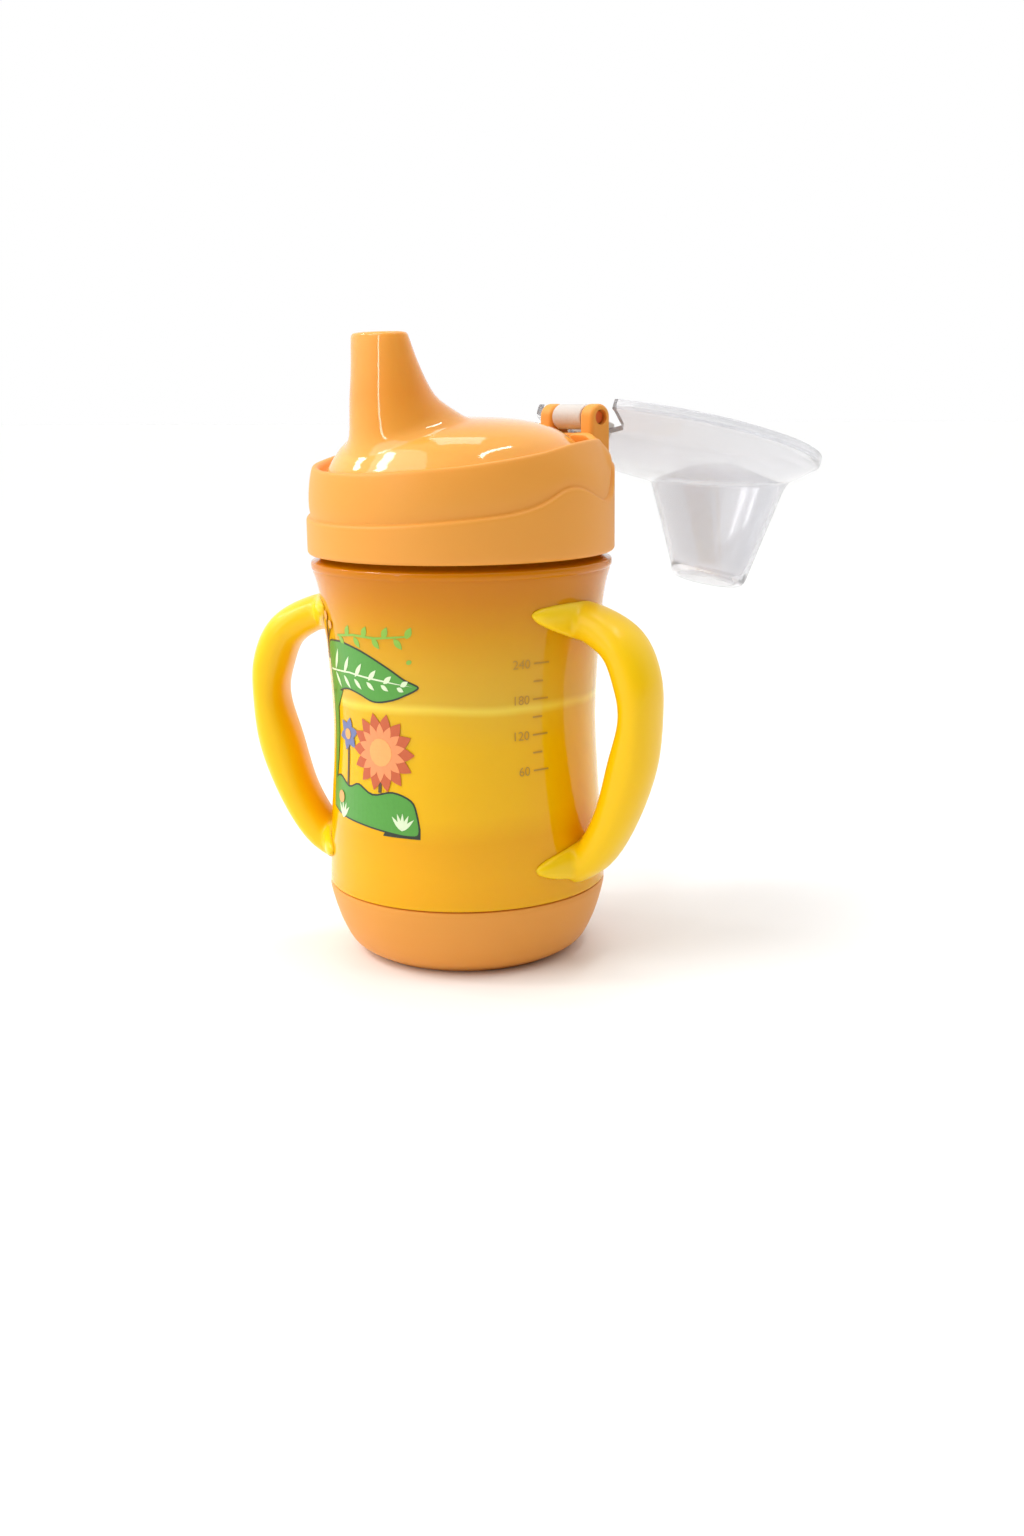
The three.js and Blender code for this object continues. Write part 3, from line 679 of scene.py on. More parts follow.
# ---------- dome and spout
# height of the dome against distance from its axis, both as shares
DOME_LINE = curve_through([
    (0, 1), (0.34, 0.972), (0.58, 0.9), (0.752, 0.775), (0.853, 0.63), (0.902, 0.51),
    (0.94, 0.4), (0.976, 0.28), (0.997, 0.1), (1, 0)], 8)


def dome_height(x, y):
    return FLANGE_TOP + DOME_H * look_up(DOME_LINE, min(math.hypot(x, y) / DOME_R, 1))


def make_dome():
    edge = ring(DOME_R, 0, rule=dome_height)
    root = ring(14.8, 0, 14.2, -(SPOUT_OFF - 6.9), raised(dome_height, 0.05))
    throat = ring(12.6, 0, 12.2, -(SPOUT_OFF - 5.7), raised(dome_height, 1.9))
    # share of the height to the tip, then how far the ring is behind it, wider and deeper
    shares = [(0.6, 3.1, 2.2, 4.1), (0.7, 2.1, 1.4, 2.7), (0.81, 1.2, 0.7, 1.5),
              (0.9, 0.5, 0.3, 0.7), (0.95, 0.2, 0.1, 0.3)]
    spout = [
        ring(TIP_HALF_X + across, FLANGE_TOP + (TIP_Z - FLANGE_TOP) * t, TIP_HALF_Y + deep,
             -(SPOUT_OFF - middle))
        for t, middle, across, deep in shares
    ]
    tip = [
        ring(TIP_HALF_X - inset, TIP_Z - drop, TIP_HALF_Y - inset, -SPOUT_OFF)
        for inset, drop in ((0, 0.85), (0.15, 0.5), (0.5, 0.2), (1.1, 0.04), (2, 0))
    ]
    slopes = [{**between(edge, root, k / 16), "rule": raised(dome_height, 0.05 * k / 16)}
              for k in range(17)]
    outer = [*slopes, between(root, throat, 0.5), throat, between(throat, spout[0], 0.5), *spout]
    foot = [ring(radius, z) for radius, z in (
        (DOME_R - DOME_WALL, FLANGE_Z), (FLANGE_R - 0.3, FLANGE_Z), (FLANGE_R, FLANGE_Z + 0.3),
        (FLANGE_R, FLANGE_TOP - 0.3), (FLANGE_R - 0.3, FLANGE_TOP), (DOME_R + 0.4, FLANGE_TOP))]
    ceiling = TIP_Z - 1.9
    inner = [*inner_rings(outer, DOME_WALL),
             ring(TIP_HALF_X - 2.4, ceiling, TIP_HALF_Y - 2.4, -SPOUT_OFF)]
    dome = loft("dome_and_spout", [*reversed(inner), *foot, *outer, *tip], 72, capped=False)
    fill_end(dome, TIP_Z)
    fill_end(dome, ceiling)
    apply_modifier(dome, "SUBSURF", levels=1, render_levels=1)
    cut(dome, *[upright("hole", 1.1, x, -SPOUT_OFF, TIP_Z - 6, TIP_Z + 2) for x in (-4, 0, 4)],
        upright("vent", 0.9, 0, 14, FLANGE_TOP, TIP_Z))
    key = block("key", (-3, DOME_R, FLANGE_Z), (3, FLANGE_R + 1.1, FLANGE_TOP), 0.2)
    stub_low, stub_top = FLANGE_Z + 4.1, FLANGE_Z + 16.6
    stub = turned("stub", [
        (4.2, stub_low + 0.5), (4.6, stub_low), (5.4, stub_low), (5.8, stub_low + 0.5),
        (5.8, stub_top), (4.2, stub_top)], 48)
    place(stub, shift_mm(0, -(SPOUT_OFF - 2.6), 0))
    dome = joined(dome, key, stub)
    place(dome, LID_FRAME)
    tidy_shell(dome, 38)
    return deliver(dome, "lid", "spout_dome")


# ---------- collar
# heights against degrees round from the hinge: the stepped line on the side, and the rim
WAVE_LINE = curve_through([
    (0, 121), (40, 119), (46, 115.2), (51, 112.4), (56, 111.3), (61, 111.2), (66, 112.1),
    (72, 113.4), (77, 114.4), (82, 114.8), (86, 114.5), (90, 113.5), (95, 112.0), (100, 110.9),
    (106, 110.0), (114, 109.3), (126, 108.6), (142, 107.8), (160, 107.2), (180, 107.0)], 4)
RIM_LINE = curve_through([
    (0, 124.6), (33, 124.7), (45, 124.8), (60, 124.9), (70, 124.7), (78, 124.3), (86, 123.6),
    (94, 122.8), (105, 121.9), (116, 121.0), (127, 120.2), (140, 119.6), (155, 119.0),
    (168, 118.6), (180, 118.5)], 4)


def hinge_angle(x, y):
    """Degrees round from the hinge's side."""
    return abs(math.degrees(math.atan2(x, y)))


def rim_height(x, y):
    """The rim, low by the spout, high by the hinge, with a lift where it runs into the ears."""
    turn = hinge_angle(x, y)
    lift = min(max((33 - turn) / 14, 0), 1) * min(max((turn - 3) / 6, 0), 1)
    return look_up(RIM_LINE, turn) + 1.2 * eased(lift)


def wave_height(x, y):
    """The line where the gripping band steps in, from the spout's side round to the ears."""
    return min(look_up(WAVE_LINE, hinge_angle(x, y)), rim_height(x, y) - 1.2)


def shelf_height(x, y):
    """The ledge inside the rim, never lower than the lip that holds the dome's flange."""
    return max(look_up(RIM_LINE, hinge_angle(x, y)) - SHELF_DROP - 1, FLANGE_TOP + GAP + 0.9)


def make_collar():
    band_z = COLLAR_Z + 1

    def band(inset, share, lift=0.0):
        """A ring at a share of the way from the foot's curve to the stepped line."""
        return ring(COLLAR_R - inset, 0, rule=lambda x, y: (
            band_z + (wave_height(x, y) - band_z) * share + lift))

    def shoulder(inset, share):
        """A ring at a share of the way from the stepped line to the rim."""
        return ring(COLLAR_R - inset, 0, rule=lambda x, y: (
            wave_height(x, y) + (rim_height(x, y) - wave_height(x, y)) * share))

    bore = COLLAR_R - 2.1
    lip_r = DOME_R + 0.4
    levels = [
        *[ring(COLLAR_R - inset, COLLAR_Z + up) for inset, up in (
            (1, 0), (0.62, 0.08), (0.29, 0.29), (0.08, 0.62), (0, 1))],
        *[band(0, k / 5) for k in range(1, 5)],
        *[band(inset, 1, lift) for inset, lift in (
            (0, -1.0), (0.03, -0.7), (0.13, -0.42), (0.34, -0.16), (0.66, 0.0), (0.9, 0.14),
            (0.98, 0.4), (0.94, 0.9))],
        *[shoulder(inset, share) for inset, share in (
            (0.72, 0.2), (0.7, 0.34), (0.76, 0.46), (0.87, 0.57), (1.02, 0.68), (1.22, 0.78),
            (1.44, 0.87), (1.62, 0.93), (1.8, 0.97), (2.05, 0.992), (2.35, 1.0))],
        *[ring(RIM_R - inset, 0, rule=raised(rim_height, -drop)) for inset, drop in (
            (1.3, 0.15), (1.75, 0.6), (1.95, 1.2))],
        *[ring(radius, 0, rule=raised(shelf_height, lift)) for radius, lift in (
            (RIM_R - 2.2, 0.35), (RIM_R - 2.6, 0), (lip_r + 0.4, 0), (lip_r, -0.4))],
        *[ring(radius, z) for radius, z in (
            (lip_r, FLANGE_TOP + GAP), (bore, FLANGE_TOP + GAP), (bore, COLLAR_Z + 0.5),
            (bore + 0.4, COLLAR_Z))],
    ]
    collar = loft("screw_collar", [*levels, levels[0]], 192, capped=False, looped=True)
    lean_in(collar)
    web = block("web", (-EAR_X - 0.3, PIN_OFF - EAR_HALF + 0.6, COLLAR_Z + 10),
                (EAR_X + 0.3, PIN_OFF + EAR_HALF, PIN_Z - KNUCKLE_R - 0.8), 0.5)
    cut(web, block("foot_trim", (-8, PIN_OFF + 0.4, COLLAR_Z - 1),
                   (8, PIN_OFF + 9, COLLAR_Z + 10)))
    cut(collar, ear(-1), ear(1), web, operation="UNION")
    half = EAR_X + EAR_T + 2
    pin_hole = upright("pin_hole", PIN_HOLE_R, 0, 0, -half, half, 48)
    place(pin_hole, shift_mm(0, PIN_OFF, PIN_Z) @ turn_about("Y", 90))
    cut(collar, pin_hole)
    place(collar, LID_FRAME)
    tidy_shell(collar)
    return deliver(collar, "lid", "collar")


def lean_in(collar):
    """Draws the top of the collar in beside the hinge, where its shoulder meets the ears."""
    for vertex in collar.data.vertices:
        x, y, z = vertex.co / MM
        low, high = wave_height(x, y) + 0.8, rim_height(x, y)
        near_hinge = eased((112 - hinge_angle(x, y)) / 56)
        amount = 1.9 * eased((z - low) / max(high - low, 1)) * near_hinge
        radius = math.hypot(x, y)
        vertex.co.x *= (radius - amount) / radius
        vertex.co.y *= (radius - amount) / radius


def ear(side):
    """One ear: an arched slab that grows out of the collar, its edges well rounded."""
    steps = 20
    arch = [
        (PIN_OFF + EAR_HALF * math.cos(a), PIN_Z + EAR_HALF * math.sin(a))
        for a in (math.pi * k / steps for k in range(steps + 1))
    ]
    foot_z = COLLAR_Z + 9
    outline = [
        (PIN_OFF - EAR_HALF, foot_z), (COLLAR_R - 0.8, foot_z), (COLLAR_R - 0.4, foot_z + 1.5),
        (COLLAR_R + 1, foot_z + 3.2), (PIN_OFF + EAR_HALF, foot_z + 5.4), *arch,
    ]
    slab = flat_face("ear", [Vector((EAR_X, y, z)) * MM for y, z in outline])
    with editing(slab):
        bpy.ops.mesh.extrude_region_move(TRANSFORM_OT_translate={"value": (EAR_T * MM, 0, 0)})
        bpy.ops.mesh.select_all(action="SELECT")
        bpy.ops.mesh.normals_make_consistent(inside=False)
    apply_modifier(slab, "BEVEL", width=1.1 * MM, segments=5, limit_method="ANGLE",
                   angle_limit=math.radians(50))
    if side < 0:
        place(slab, shift_mm(-(2 * EAR_X + EAR_T), 0, 0))
    return slab


# ---------- cover
# height of the dish against distance from its axis, both as shares
COVER_LINE = curve_through(
    [(0, 1), (0.27, 0.965), (0.54, 0.82), (0.76, 0.58), (0.9, 0.31), (0.97, 0.1), (1, 0)], 6)


def cover_foot(x, y):
    """The sloping plane of the cover's edge."""
    return COVER_Z + COVER_SLOPE * y


def cover_height(x, y):
    share = look_up(COVER_LINE, min(math.hypot(x, y) / (COVER_R - 0.9), 1))
    return cover_foot(x, y) + COVER_BAND + (COVER_DISH - COVER_BAND) * share


def make_cover():
    """The cover, drawn shut and then swung open."""
    on_dish = raised(cover_height, 0.05)
    edge = ring(COVER_R - 0.95, 0, rule=on_dish)
    root = ring(19.6, 0, 16.9, -(SPOUT_OFF - 3), on_dish)
    neck = ring(18.7, 0, 16.0, -(SPOUT_OFF - 3.1), raised(cover_height, 1.7))
    end_y, end_z = -(SPOUT_OFF + 2.1), TIP_Z + 5

    def pocket_ring(inset, drop):
        return ring(POCKET_HALF_X - inset, end_z - drop, POCKET_HALF_Y - inset, end_y)

    def band_rings(rows):
        return [ring(COVER_R - inset, 0, rule=raised(cover_foot, up)) for inset, up in rows]

    band = band_rings(((0.4, 0), (0.1, 0.1), (0, 0.4), (0, 1.4), (0, 2.4), (0.15, 2.7),
                       (0.5, 2.85)))
    dish = [{**between(edge, root, k / 16), "rule": on_dish} for k in range(17)]
    end = pocket_ring(0, 2.2)
    pocket = [between(root, neck, 0.55), neck, *[between(neck, end, k / 8) for k in range(1, 8)],
              end]
    cap = [pocket_ring(*row) for row in ((0.25, 1.1), (0.9, 0.4), (1.9, 0.06), (3, 0))]
    inner = [
        *band_rings(((COVER_WALL + 0.2, 0), (COVER_WALL, 0.3), (COVER_WALL, 1.7),
                     (COVER_WALL + 0.3, 2.0))),
        *inner_rings([*dish, *pocket], COVER_WALL)[1:],
        pocket_ring(COVER_WALL + 2, COVER_WALL),
    ]
    cover = loft("clear_cover", [*reversed(inner), *band, *dish, *pocket, *cap], 80,
                 capped=False)
    fill_end(cover, end_z)
    fill_end(cover, end_z - COVER_WALL)
    apply_modifier(cover, "SUBSURF", levels=1, render_levels=1)
    half = EAR_X + EAR_T + 0.6
    notch = block("notch", (-half, PIN_OFF - EAR_HALF - 1.1, COVER_Z - 20),
                  (half, COVER_R + 4, COVER_Z + 20))
    relief = block("relief", (-COVER_R, PIN_OFF - EAR_HALF - 3, COVER_Z - 20),
                   (half + 2, COVER_R + 4, COVER_Z + 24), 0.8)
    cut(cover, notch, relief)
    place(cover, LID_FRAME @ SWING)
    tidy_shell(cover)
    return deliver(cover, "cover", "flip_cover")


def make_knuckle():
    """The frosted, finely ribbed barrel on the pin, with the arm that carries the cover."""
    ribs = 15
    low_r, edge_r = KNUCKLE_R - 0.14, KNUCKLE_R - 0.25
    pitch = (2 * KNUCKLE_HALF - 0.4) / ribs
    profile = []
    for k in range(ribs):
        x = -KNUCKLE_HALF + 0.2 + pitch * k
        profile += [(low_r, x), (KNUCKLE_R, x + 0.3 * pitch), (KNUCKLE_R, x + 0.7 * pitch)]
    barrel = turned("cover_knuckle", [
        (PIN_HOLE_R, -KNUCKLE_HALF), (edge_r, -KNUCKLE_HALF), *profile,
        (low_r, KNUCKLE_HALF - 0.2), (edge_r, KNUCKLE_HALF), (PIN_HOLE_R, KNUCKLE_HALF)], 56)
    place(barrel, shift_mm(0, PIN_OFF, PIN_Z) @ turn_about("Y", 90))
    arm = block("arm", (-KNUCKLE_HALF + 0.2, PIN_OFF - 9.4, PIN_Z - 1.5),
                (KNUCKLE_HALF - 0.2, PIN_OFF - 1.95, PIN_Z + 1.9), 0.35)
    cut(barrel, arm, operation="UNION")
    place(barrel, LID_FRAME @ SWING)
    tidy_shell(barrel)
    return deliver(barrel, "cover")


# ---------- print on the side
# the print is drawn flat as (u, z) in mm, and wrapped on at a rate for this radius
PRINT_R = 33
PRINT_MIDDLE = 248
SCALE_MIDDLE = 322
STRIP = 1.6
FILM = 0.05
LEAF_BULGE = 0.8641


def leaned(spots, u, z, degrees):
    """Flat points turned about the origin, then moved to (u, z)."""
    turn = math.radians(degrees)
    return [(u + a * math.cos(turn) - b * math.sin(turn),
             z + a * math.sin(turn) + b * math.cos(turn)) for a, b in spots]


def oval(u, z, half_u, half_z, lean=0.0):
    sides = 18
    angles = [2 * math.pi * k / sides for k in range(sides)]
    return leaned([(half_u * math.cos(a), half_z * math.sin(a)) for a in angles], u, z, lean)


def blade(u, z, length, width, lean):
    """A pointed leaf or petal that starts at (u, z) and leans by so many degrees."""
    out = [k / 7 for k in range(7)]
    back = [1 - share for share in out]
    spots = [
        (share * length, side * math.sin(math.pi * share ** LEAF_BULGE) * width / 2)
        for side, shares in ((1, out), (-1, back)) for share in shares
    ]
    return leaned(spots, u, z, lean)


def smooth_outline(points):
    return curve_through([*points, points[0]], 4)[:-1]


def shrunk(points, by):
    """The outline moved inwards by a distance."""
    made = []
    for i, (u, z) in enumerate(points):
        (u0, z0), (u1, z1) = points[i - 1], points[(i + 1) % len(points)]
        du, dz = u1 - u0, z1 - z0
        size = math.hypot(du, dz) or 1
        made.append((u - by * dz / size, z + by * du / size))
    return made


def printed(name, outlines, lift, colour):
    """Flat ink shapes, cut fine enough to bend, laid on the side and given a film's thickness."""
    shapes = [flat_face("ink", [(u, 0, z) for u, z in outline]) for outline in outlines]
    for shape in shapes:
        slice_flat(shape)
    wrapped(name, shapes, PRINT_MIDDLE, lift, colour)


def slice_flat(shape):
    """Cuts a flat shape into strips both ways."""
    us = [v.co.x for v in shape.data.vertices]
    zs = [v.co.z for v in shape.data.vertices]
    with editing(shape):
        for low, high, normal in ((min(us), max(us), (1, 0, 0)), (min(zs), max(zs), (0, 0, 1))):
            level = math.ceil(low / STRIP) * STRIP
            while level < high:
                bpy.ops.mesh.select_all(action="SELECT")
                bpy.ops.mesh.bisect(plane_co=[c * level for c in normal], plane_no=normal)
                level += STRIP


def wrapped(name, shapes, middle, lift, colour):
    """One ink film: the shapes bent round the side, the middle of them at an angle about Z."""
    film = joined(*shapes)
    film.name = film.data.name = name
    for vertex in film.data.vertices:
        u, z = vertex.co.x, vertex.co.z
        radius = side_radius(z) + lift
        angle = math.radians(middle) + u / PRINT_R
        vertex.co = Vector((radius * math.cos(angle), radius * math.sin(angle), z)) * MM
    with editing(film):
        bpy.ops.mesh.remove_doubles(threshold=MERGE)
        bpy.ops.mesh.normals_make_consistent(inside=False)
    outward = sum(p.normal.dot(p.center.normalized()) * p.area for p in film.data.polygons)
    if outward < 0:
        film.data.flip_normals()
    apply_modifier(film, "SOLIDIFY", thickness=FILM * MM, offset=1)
    dress(film, pad_printed_ink(name + "_ink", colour))
    return deliver(film, "cup")


def pad_printed_ink(name, colour):
    """Pad-printed two-part ink: flat opaque colour, low sheen, a slight orange-peel skin."""
    material, tree, shader = finish_named(name, Roughness=0.33, IOR=1.5)
    _, noise = grain(tree, shader, 0.9, 0.004)
    shade = add_node(tree, "ShaderNodeHueSaturation", in_Color=linear(colour))
    level = add_node(tree, "ShaderNodeMapRange", {"Value": noise.outputs["Fac"]},
                     in_To_Min=0.93, in_To_Max=1.07)
    tree.links.new(level.outputs["Result"], shade.inputs["Value"])
    tree.links.new(shade.outputs["Color"], shader.inputs["Base Color"])
    return material


def flower(u, z, count, start, length, width, turn):
    """Petals round (u, z), each starting some way out; turn is in petals."""
    angles = [2 * math.pi * (k + turn) / count for k in range(count)]
    return [blade(u + start * math.cos(a), z + start * math.sin(a), length, width,
                  math.degrees(a)) for a in angles]


def make_print():
    """A big leaf on a stem over a bush, with flowers, a twig with berries and a leafy sprig."""
    big_leaf = smooth_outline([
        (-16, 65.2), (-12, 66.6), (-7, 68.2), (-2, 67.6), (3, 66.2), (8, 66.9), (12, 68.4),
        (15.6, 70.6), (12, 72.4), (8, 74.8), (2, 77.6), (-4, 79.2), (-10, 79.6), (-16, 77.6)])
    bush = smooth_outline([
        (-16, 38.2), (-10, 37), (-2, 36.4), (5, 35.8), (12, 35.2), (15, 36), (14.6, 40.5),
        (13, 44), (8, 45.6), (2, 44.4), (-3, 46.2), (-7, 45), (-12, 46.8), (-16, 44.4)])
    stem = [(-16.2, 44), (-14.6, 44), (-13.4, 50), (-12.6, 57), (-12.4, 63), (-9, 67.6),
            (-16.2, 67.6)]
    soil = [(5.4, 34.9), (15.2, 34.9), (15.2, 37.6), (12, 38.6), (9, 37.4), (7, 38)]
    twig = [(-17.6, 74.4), (-17, 74.2), (-14.6, 84.4), (-15.2, 84.6)]
    side_twig = [(-16.3, 79), (-16, 78.6), (-12.6, 82.2), (-12.9, 82.5)]
    stalks = [[(3.9, 45), (4.8, 45), (5, 52), (4.1, 52)],
              [(-7.9, 45), (-7.1, 45), (-7, 57), (-7.7, 57)]]
    sprig = [(-9, 80.6), (-2, 81.4), (5, 81.2), (13.6, 82.2), (13.6, 82.6), (5, 81.75),
             (-2, 81.95), (-9, 81.15)]
    sprig_leaves = [blade(-8 + 3 * k, 81 + 0.12 * k, 3.1, 1.6, 62 if k % 2 else -52)
                    for k in range(8)]
    big_at, small_at = (4.6, 54.6), (-7.4, 57.4)
    petals = flower(*big_at, 14, 3, 6.4, 3.4, 0)
    inner_petals = flower(*big_at, 14, 2.4, 4.6, 2.2, 0.5)
    small_petals = flower(*small_at, 6, 0, 4.2, 2.6, 0.25)
    veins = [blade(-12 + 4.6 * k, 72.4 - 0.35 * k, 5.8 - 0.7 * k, 1.2, 64 - 6 * k)
             for k in range(6)]
    veins += [blade(-12 + 4.4 * k, 71.8 - 0.3 * k, 4.4 - 0.5 * k, 1.1, -52 + 5 * k)
              for k in range(6)]
    veins.append([(-15, 71.9), (-5, 72.3), (6, 71.4), (14, 70.7), (6, 71.8), (-5, 72.7),
                  (-15, 72.3)])
    tufts = [blade(u, 36.6, 4.2, 0.9, lean) for u, leans in (
        (10.6, (130, 108, 88, 66, 44)), (-9.6, (124, 96, 70, 48))) for lean in leans]
    berries = [oval(-10.6, 41.6, 1.5, 1.5), oval(-14.9, 84.9, 1.1, 1.1), oval(-12.4, 83, 1, 1),
               oval(-16.4, 80.6, 0.9, 0.9)]
    printed("print_outline", [big_leaf, bush, stem, soil], 0.02, "#23301c")
    printed("print_petal_edges", [shrunk(petal, -0.22) for petal in petals], 0.11, "#6e2f1c")
    printed("print_green", [shrunk(big_leaf, 0.42), shrunk(bush, 0.42), shrunk(stem, 0.35)],
            0.06, "#4f9a35")
    printed("print_leaf_light", [sprig, *sprig_leaves, oval(13.4, 76.4, 0.7, 0.5, 30)],
            0.04, "#86b838")
    printed("print_stalks", [twig, side_twig, *stalks], 0.11, "#5a4326")
    printed("print_petals", petals, 0.15, "#c65a2c")
    printed("print_inner_petals", inner_petals, 0.2, "#f0925a")
    printed("print_discs", [oval(*big_at, 3.3, 3.3), oval(*small_at, 1.3, 1.3), *berries],
            0.25, "#f2a95e")
    printed("print_small_petals", small_petals, 0.15, "#6c75a6")
    printed("print_pale", [*veins, *tufts], 0.13, "#dcecc4")


def make_graduations():
    """A printed filling scale: a tick every 30 ml with the amount beside the longer ones."""
    shapes = []
    for k in range(7):
        z = 50 + 4.2 * k
        numbered = k % 2 == 0
        length = 4.2 if numbered else 2.6
        clear_selection()
        bpy.ops.mesh.primitive_plane_add(size=1)
        tick = bpy.context.object
        corners = ((0, 0), (length, 0), (0, 0.42), (length, 0.42))
        for vertex, (u, v) in zip(tick.data.vertices, corners):
            vertex.co = (u, 0, z + v)
        slice_flat(tick)
        shapes.append(tick)
        if numbered:
            bpy.ops.object.text_add()
            figure = bpy.context.object
            figure.data.body = str(60 + 30 * k)
            figure.data.size = 3
            figure.data.align_x = "RIGHT"
            pick(figure)
            bpy.ops.object.convert(target="MESH")
            for vertex in figure.data.vertices:
                u, v = vertex.co.x, vertex.co.y
                vertex.co = (u - 0.9, 0, z - 0.8 + v)
            shapes.append(figure)
    wrapped("graduations", shapes, SCALE_MIDDLE, 0.05, "#bd8a12")


# ---------- finishes
def linear(code):
    """An sRGB hex colour as linear RGBA."""
    parts = [int(code[i:i + 2], 16) / 255 for i in (1, 3, 5)]
    made = [c / 12.92 if c <= 0.04045 else ((c + 0.055) / 1.055) ** 2.4 for c in parts]
    return (*made, 1)


def add_node(tree, kind, links=None, **settings):
    """Adds a node; settings starting with in_ go on its input sockets, links feed others."""
    node = tree.nodes.new(kind)
    for key, value in settings.items():
        if key.startswith("in_"):
            node.inputs[key[3:].replace("_", " ")].default_value = value
        else:
            setattr(node, key, value)
    for socket, source in (links or {}).items():
        tree.links.new(source, node.inputs[socket])
    return node


def finish_named(name, **sockets):
    material = bpy.data.materials.new(name)
    material.use_nodes = True
    shader = material.node_tree.nodes["Principled BSDF"]
    for key, value in sockets.items():
        shader.inputs[key.replace("_", " ")].default_value = value
    return material, material.node_tree, shader


def grain(tree, shader, size_mm, depth_mm, detail=3.0):
    """A bump of the given grain size and depth on the shader."""
    where = add_node(tree, "ShaderNodeTexCoord")
    noise = add_node(tree, "ShaderNodeTexNoise", {"Vector": where.outputs["Object"]},
                     in_Scale=1 / (size_mm * MM), in_Detail=detail)
    bump = add_node(tree, "ShaderNodeBump", {"Height": noise.outputs["Fac"]},
                    in_Strength=1.0, in_Distance=depth_mm * MM)
    tree.links.new(bump.outputs["Normal"], shader.inputs["Normal"])
    return where, noise


def banded(tree, shader, where, stops, wobble_mm):
    """A colour that changes with height, from (height in mm, colour) stops, a little uneven."""
    low, high = stops[0][0], stops[-1][0]
    split = add_node(tree, "ShaderNodeSeparateXYZ", {"Vector": where.outputs["Object"]})
    cloud = add_node(tree, "ShaderNodeTexNoise", {"Vector": where.outputs["Object"]},
                     in_Scale=1 / (26 * MM), in_Detail=2.0)
    drift = add_node(tree, "ShaderNodeMath", {0: cloud.outputs["Fac"]}, operation="MULTIPLY_ADD")
    drift.inputs[1].default_value = 2 * wobble_mm * MM
    drift.inputs[2].default_value = -wobble_mm * MM
    shifted = add_node(tree, "ShaderNodeMath", {0: split.outputs["Z"], 1: drift.outputs[0]})
    span = add_node(tree, "ShaderNodeMapRange", {"Value": shifted.outputs[0]},
                    in_From_Min=low * MM, in_From_Max=high * MM)
    ramp = add_node(tree, "ShaderNodeValToRGB", {"Fac": span.outputs["Result"]})
    elements = ramp.color_ramp.elements
    while len(elements) < len(stops):
        elements.new(0.5)
    for element, (z, colour) in zip(elements, stops):
        element.position = (z - low) / (high - low)
        element.color = linear(colour)
    tree.links.new(ramp.outputs["Color"], shader.inputs["Base Color"])


def tinted_polypropylene_painted_light():
    """Clarified polypropylene, blown and polished: amber, lets light through, glossy skin. Its
    colour also carries painted shade, deepening to orange towards the top under the collar, and a
    painted reflection, the bright line near 65 mm.
    """
    material, tree, shader = finish_named(
        "tinted_clarified_polypropylene_painted_light", Roughness=0.08, IOR=1.49, Transmission_Weight=0.06,
        Subsurface_Weight=0.35, Subsurface_Scale=0.005, Subsurface_Radius=(1.0, 0.6, 0.08),
        Specular_IOR_Level=0.24)
    where, _ = grain(tree, shader, 9, 0.006, 1.0)
    # painted shade: from about 74 mm up the amber darkens to orange where the collar and lid
    # shade the body; painted reflection: the bright #ffd94e line at 65 mm, with slightly darker
    # edges either side
    banded(tree, shader, where, [
        (17, "#fbb002"), (26, "#fcb400"), (34, "#f8b000"), (40, "#ffbe00"), (56, "#fbbe02"),
        (63.5, "#f0ba1e"), (65, "#ffd94e"), (66.5, "#e8b730"), (74, "#e8b024"),
        (82, "#e2a008"), (90, "#d88a00"), (97, "#cf7c00")], 1.6)
    return material


def moulded_yellow():
    """Injection-moulded soft-gloss polypropylene, bright yellow and faintly see-through."""
    material, tree, shader = finish_named(
        "moulded_yellow_polypropylene", Roughness=0.28, IOR=1.49, Subsurface_Weight=0.2,
        Subsurface_Scale=0.003, Subsurface_Radius=(1.0, 0.7, 0.05), Specular_IOR_Level=0.3)
    where, _ = grain(tree, shader, 2.5, 0.004)
    banded(tree, shader, where, [
        (16, "#fbd00c"), (45, "#fbc902"), (68, "#fac803"), (90, "#fed21c")], 6)
    return material


def satin_apricot():
    """Polypropylene from a spark-eroded mould: apricot, a fine matt grain, soft highlights."""
    material, tree, shader = finish_named(
        "spark_textured_apricot_polypropylene", Roughness=0.42, IOR=1.49,
        Subsurface_Weight=0.12, Subsurface_Scale=0.003, Subsurface_Radius=(1.0, 0.5, 0.2),
        Specular_IOR_Level=0.3)
    # the real grit is about 0.05 mm; it is drawn at 0.35 mm so that it shows at all
    where, _ = grain(tree, shader, 0.35, 0.02, 2.0)
    banded(tree, shader, where, [(0, "#e69a40"), (60, "#e99f42"), (130, "#ea9f42")], 10)
    return material


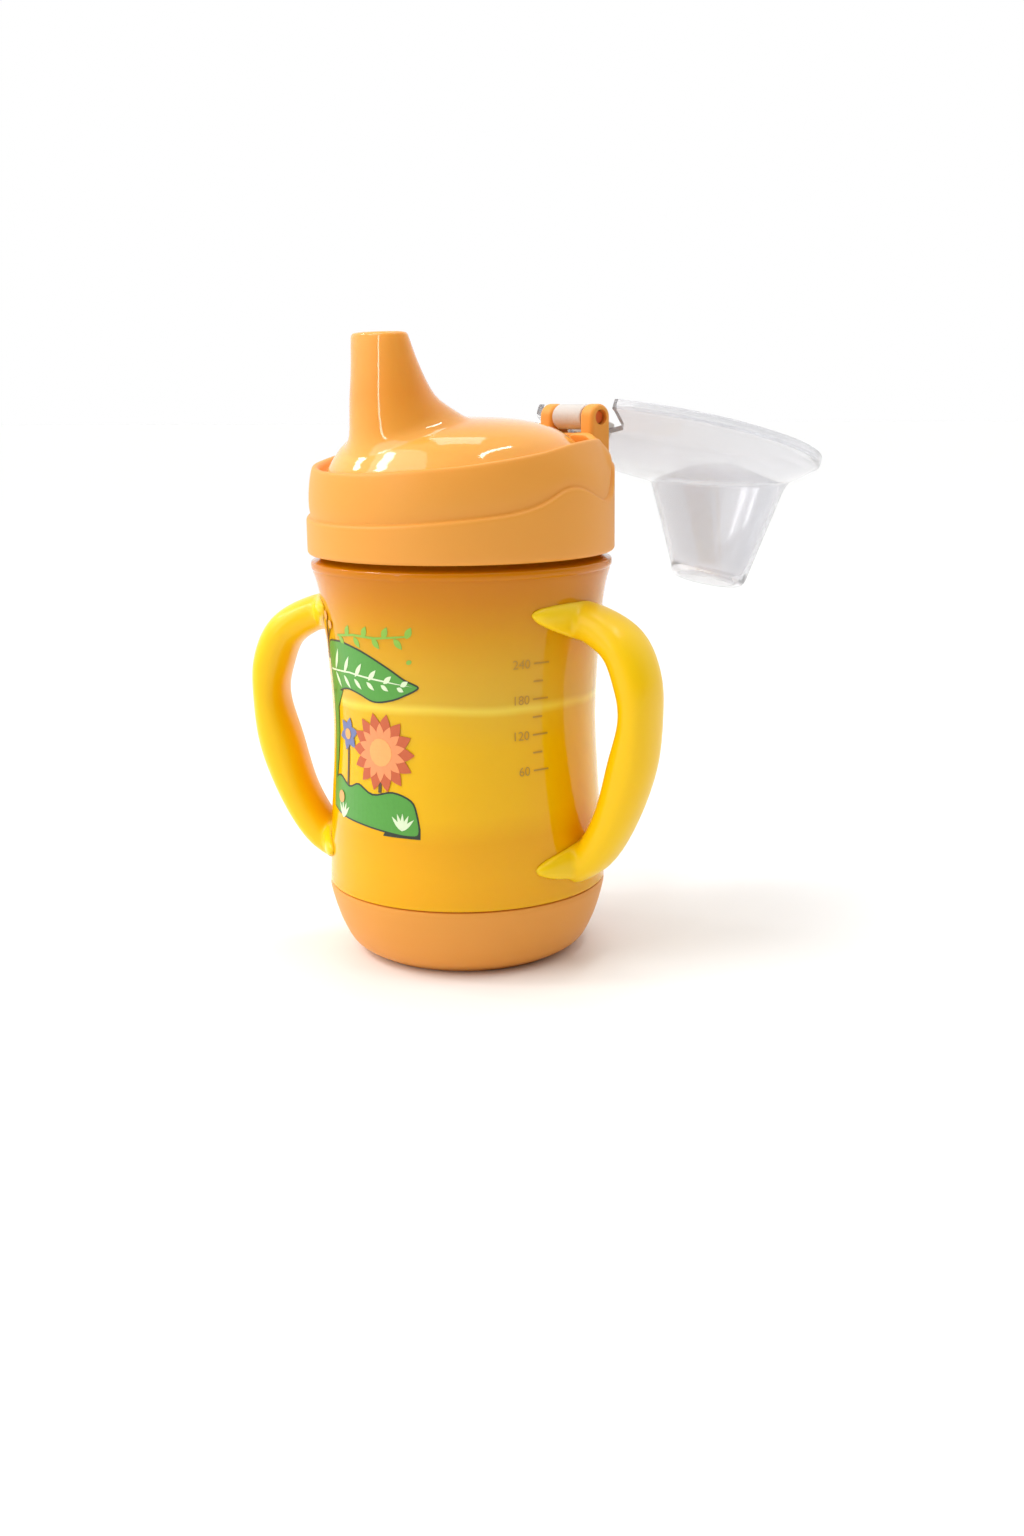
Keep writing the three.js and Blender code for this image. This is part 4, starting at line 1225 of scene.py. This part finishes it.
def polished_apricot():
    """The same polypropylene from a polished mould: a deeper apricot with a wet-looking gloss."""
    material, tree, shader = finish_named(
        "polished_apricot_polypropylene", Roughness=0.07, IOR=1.52, Subsurface_Weight=0.3,
        Subsurface_Scale=0.004, Subsurface_Radius=(1.0, 0.5, 0.15))
    where, _ = grain(tree, shader, 12, 0.008, 1.0)
    banded(tree, shader, where, [
        (112, "#fbb650"), (121, "#fbb44e"), (128, "#f5a43f"), (136, "#f09a38"),
        (150, "#f3a344")], 1.5)
    return material


def plain_finish(name, size_mm, depth_mm, detail=3.0, **sockets):
    """One even colour with a grain."""
    material, tree, shader = finish_named(name, **sockets)
    grain(tree, shader, size_mm, depth_mm, detail)
    return material


def cloudy_clear():
    """Natural clarified polypropylene: clear with a slight grey-white cloudiness."""
    return plain_finish("natural_clarified_polypropylene", 14, 0.01, 1.0, IOR=1.44,
                        Base_Color=linear("#ededf0"), Roughness=0.13, Transmission_Weight=0.86)


def frosted_knuckle():
    """The same plastic from a blasted mould face: milky and matt."""
    return plain_finish("blasted_natural_polypropylene", 0.4, 0.02, IOR=1.45,
                        Base_Color=linear("#eae4dd"), Roughness=0.5, Transmission_Weight=0.25)


def silicone_rubber():
    """Liquid silicone rubber: milky white, matt, slightly soft to the light."""
    return plain_finish("milky_silicone_rubber", 0.8, 0.01, Base_Color=linear("#f3f1ec"),
                        Roughness=0.5, IOR=1.41, Subsurface_Weight=0.4, Subsurface_Scale=0.003)


def pin_plastic():
    """Acetal rod, turned: deep orange with a low sheen."""
    return plain_finish("deep_orange_acetal", 0.5, 0.01, Base_Color=linear("#e0691c"),
                        Roughness=0.35, IOR=1.48)


def dress(obj, material):
    obj.data.materials.clear()
    obj.data.materials.append(material)


# ---------- assembly
make_camera()
make_stage()
cup = make_cup()
boot = make_boot()
handles = make_handles()
dome = make_dome()
collar = make_collar()
cover = make_cover()
knuckle = make_knuckle()
make_print()
make_graduations()

satin = satin_apricot()
dress(cup, tinted_polypropylene_painted_light())
dress(boot, satin)
dress(collar, satin)
yellow = moulded_yellow()
for handle in handles:
    dress(handle, yellow)
dress(dome, polished_apricot())
dress(cover, cloudy_clear())
dress(knuckle, frosted_knuckle())
soft_white = silicone_rubber()
dress(frame["nodes"]["lid_seal"], soft_white)
dress(frame["nodes"]["spill_valve"], soft_white)
dress(frame["nodes"]["hinge_pin"], pin_plastic())
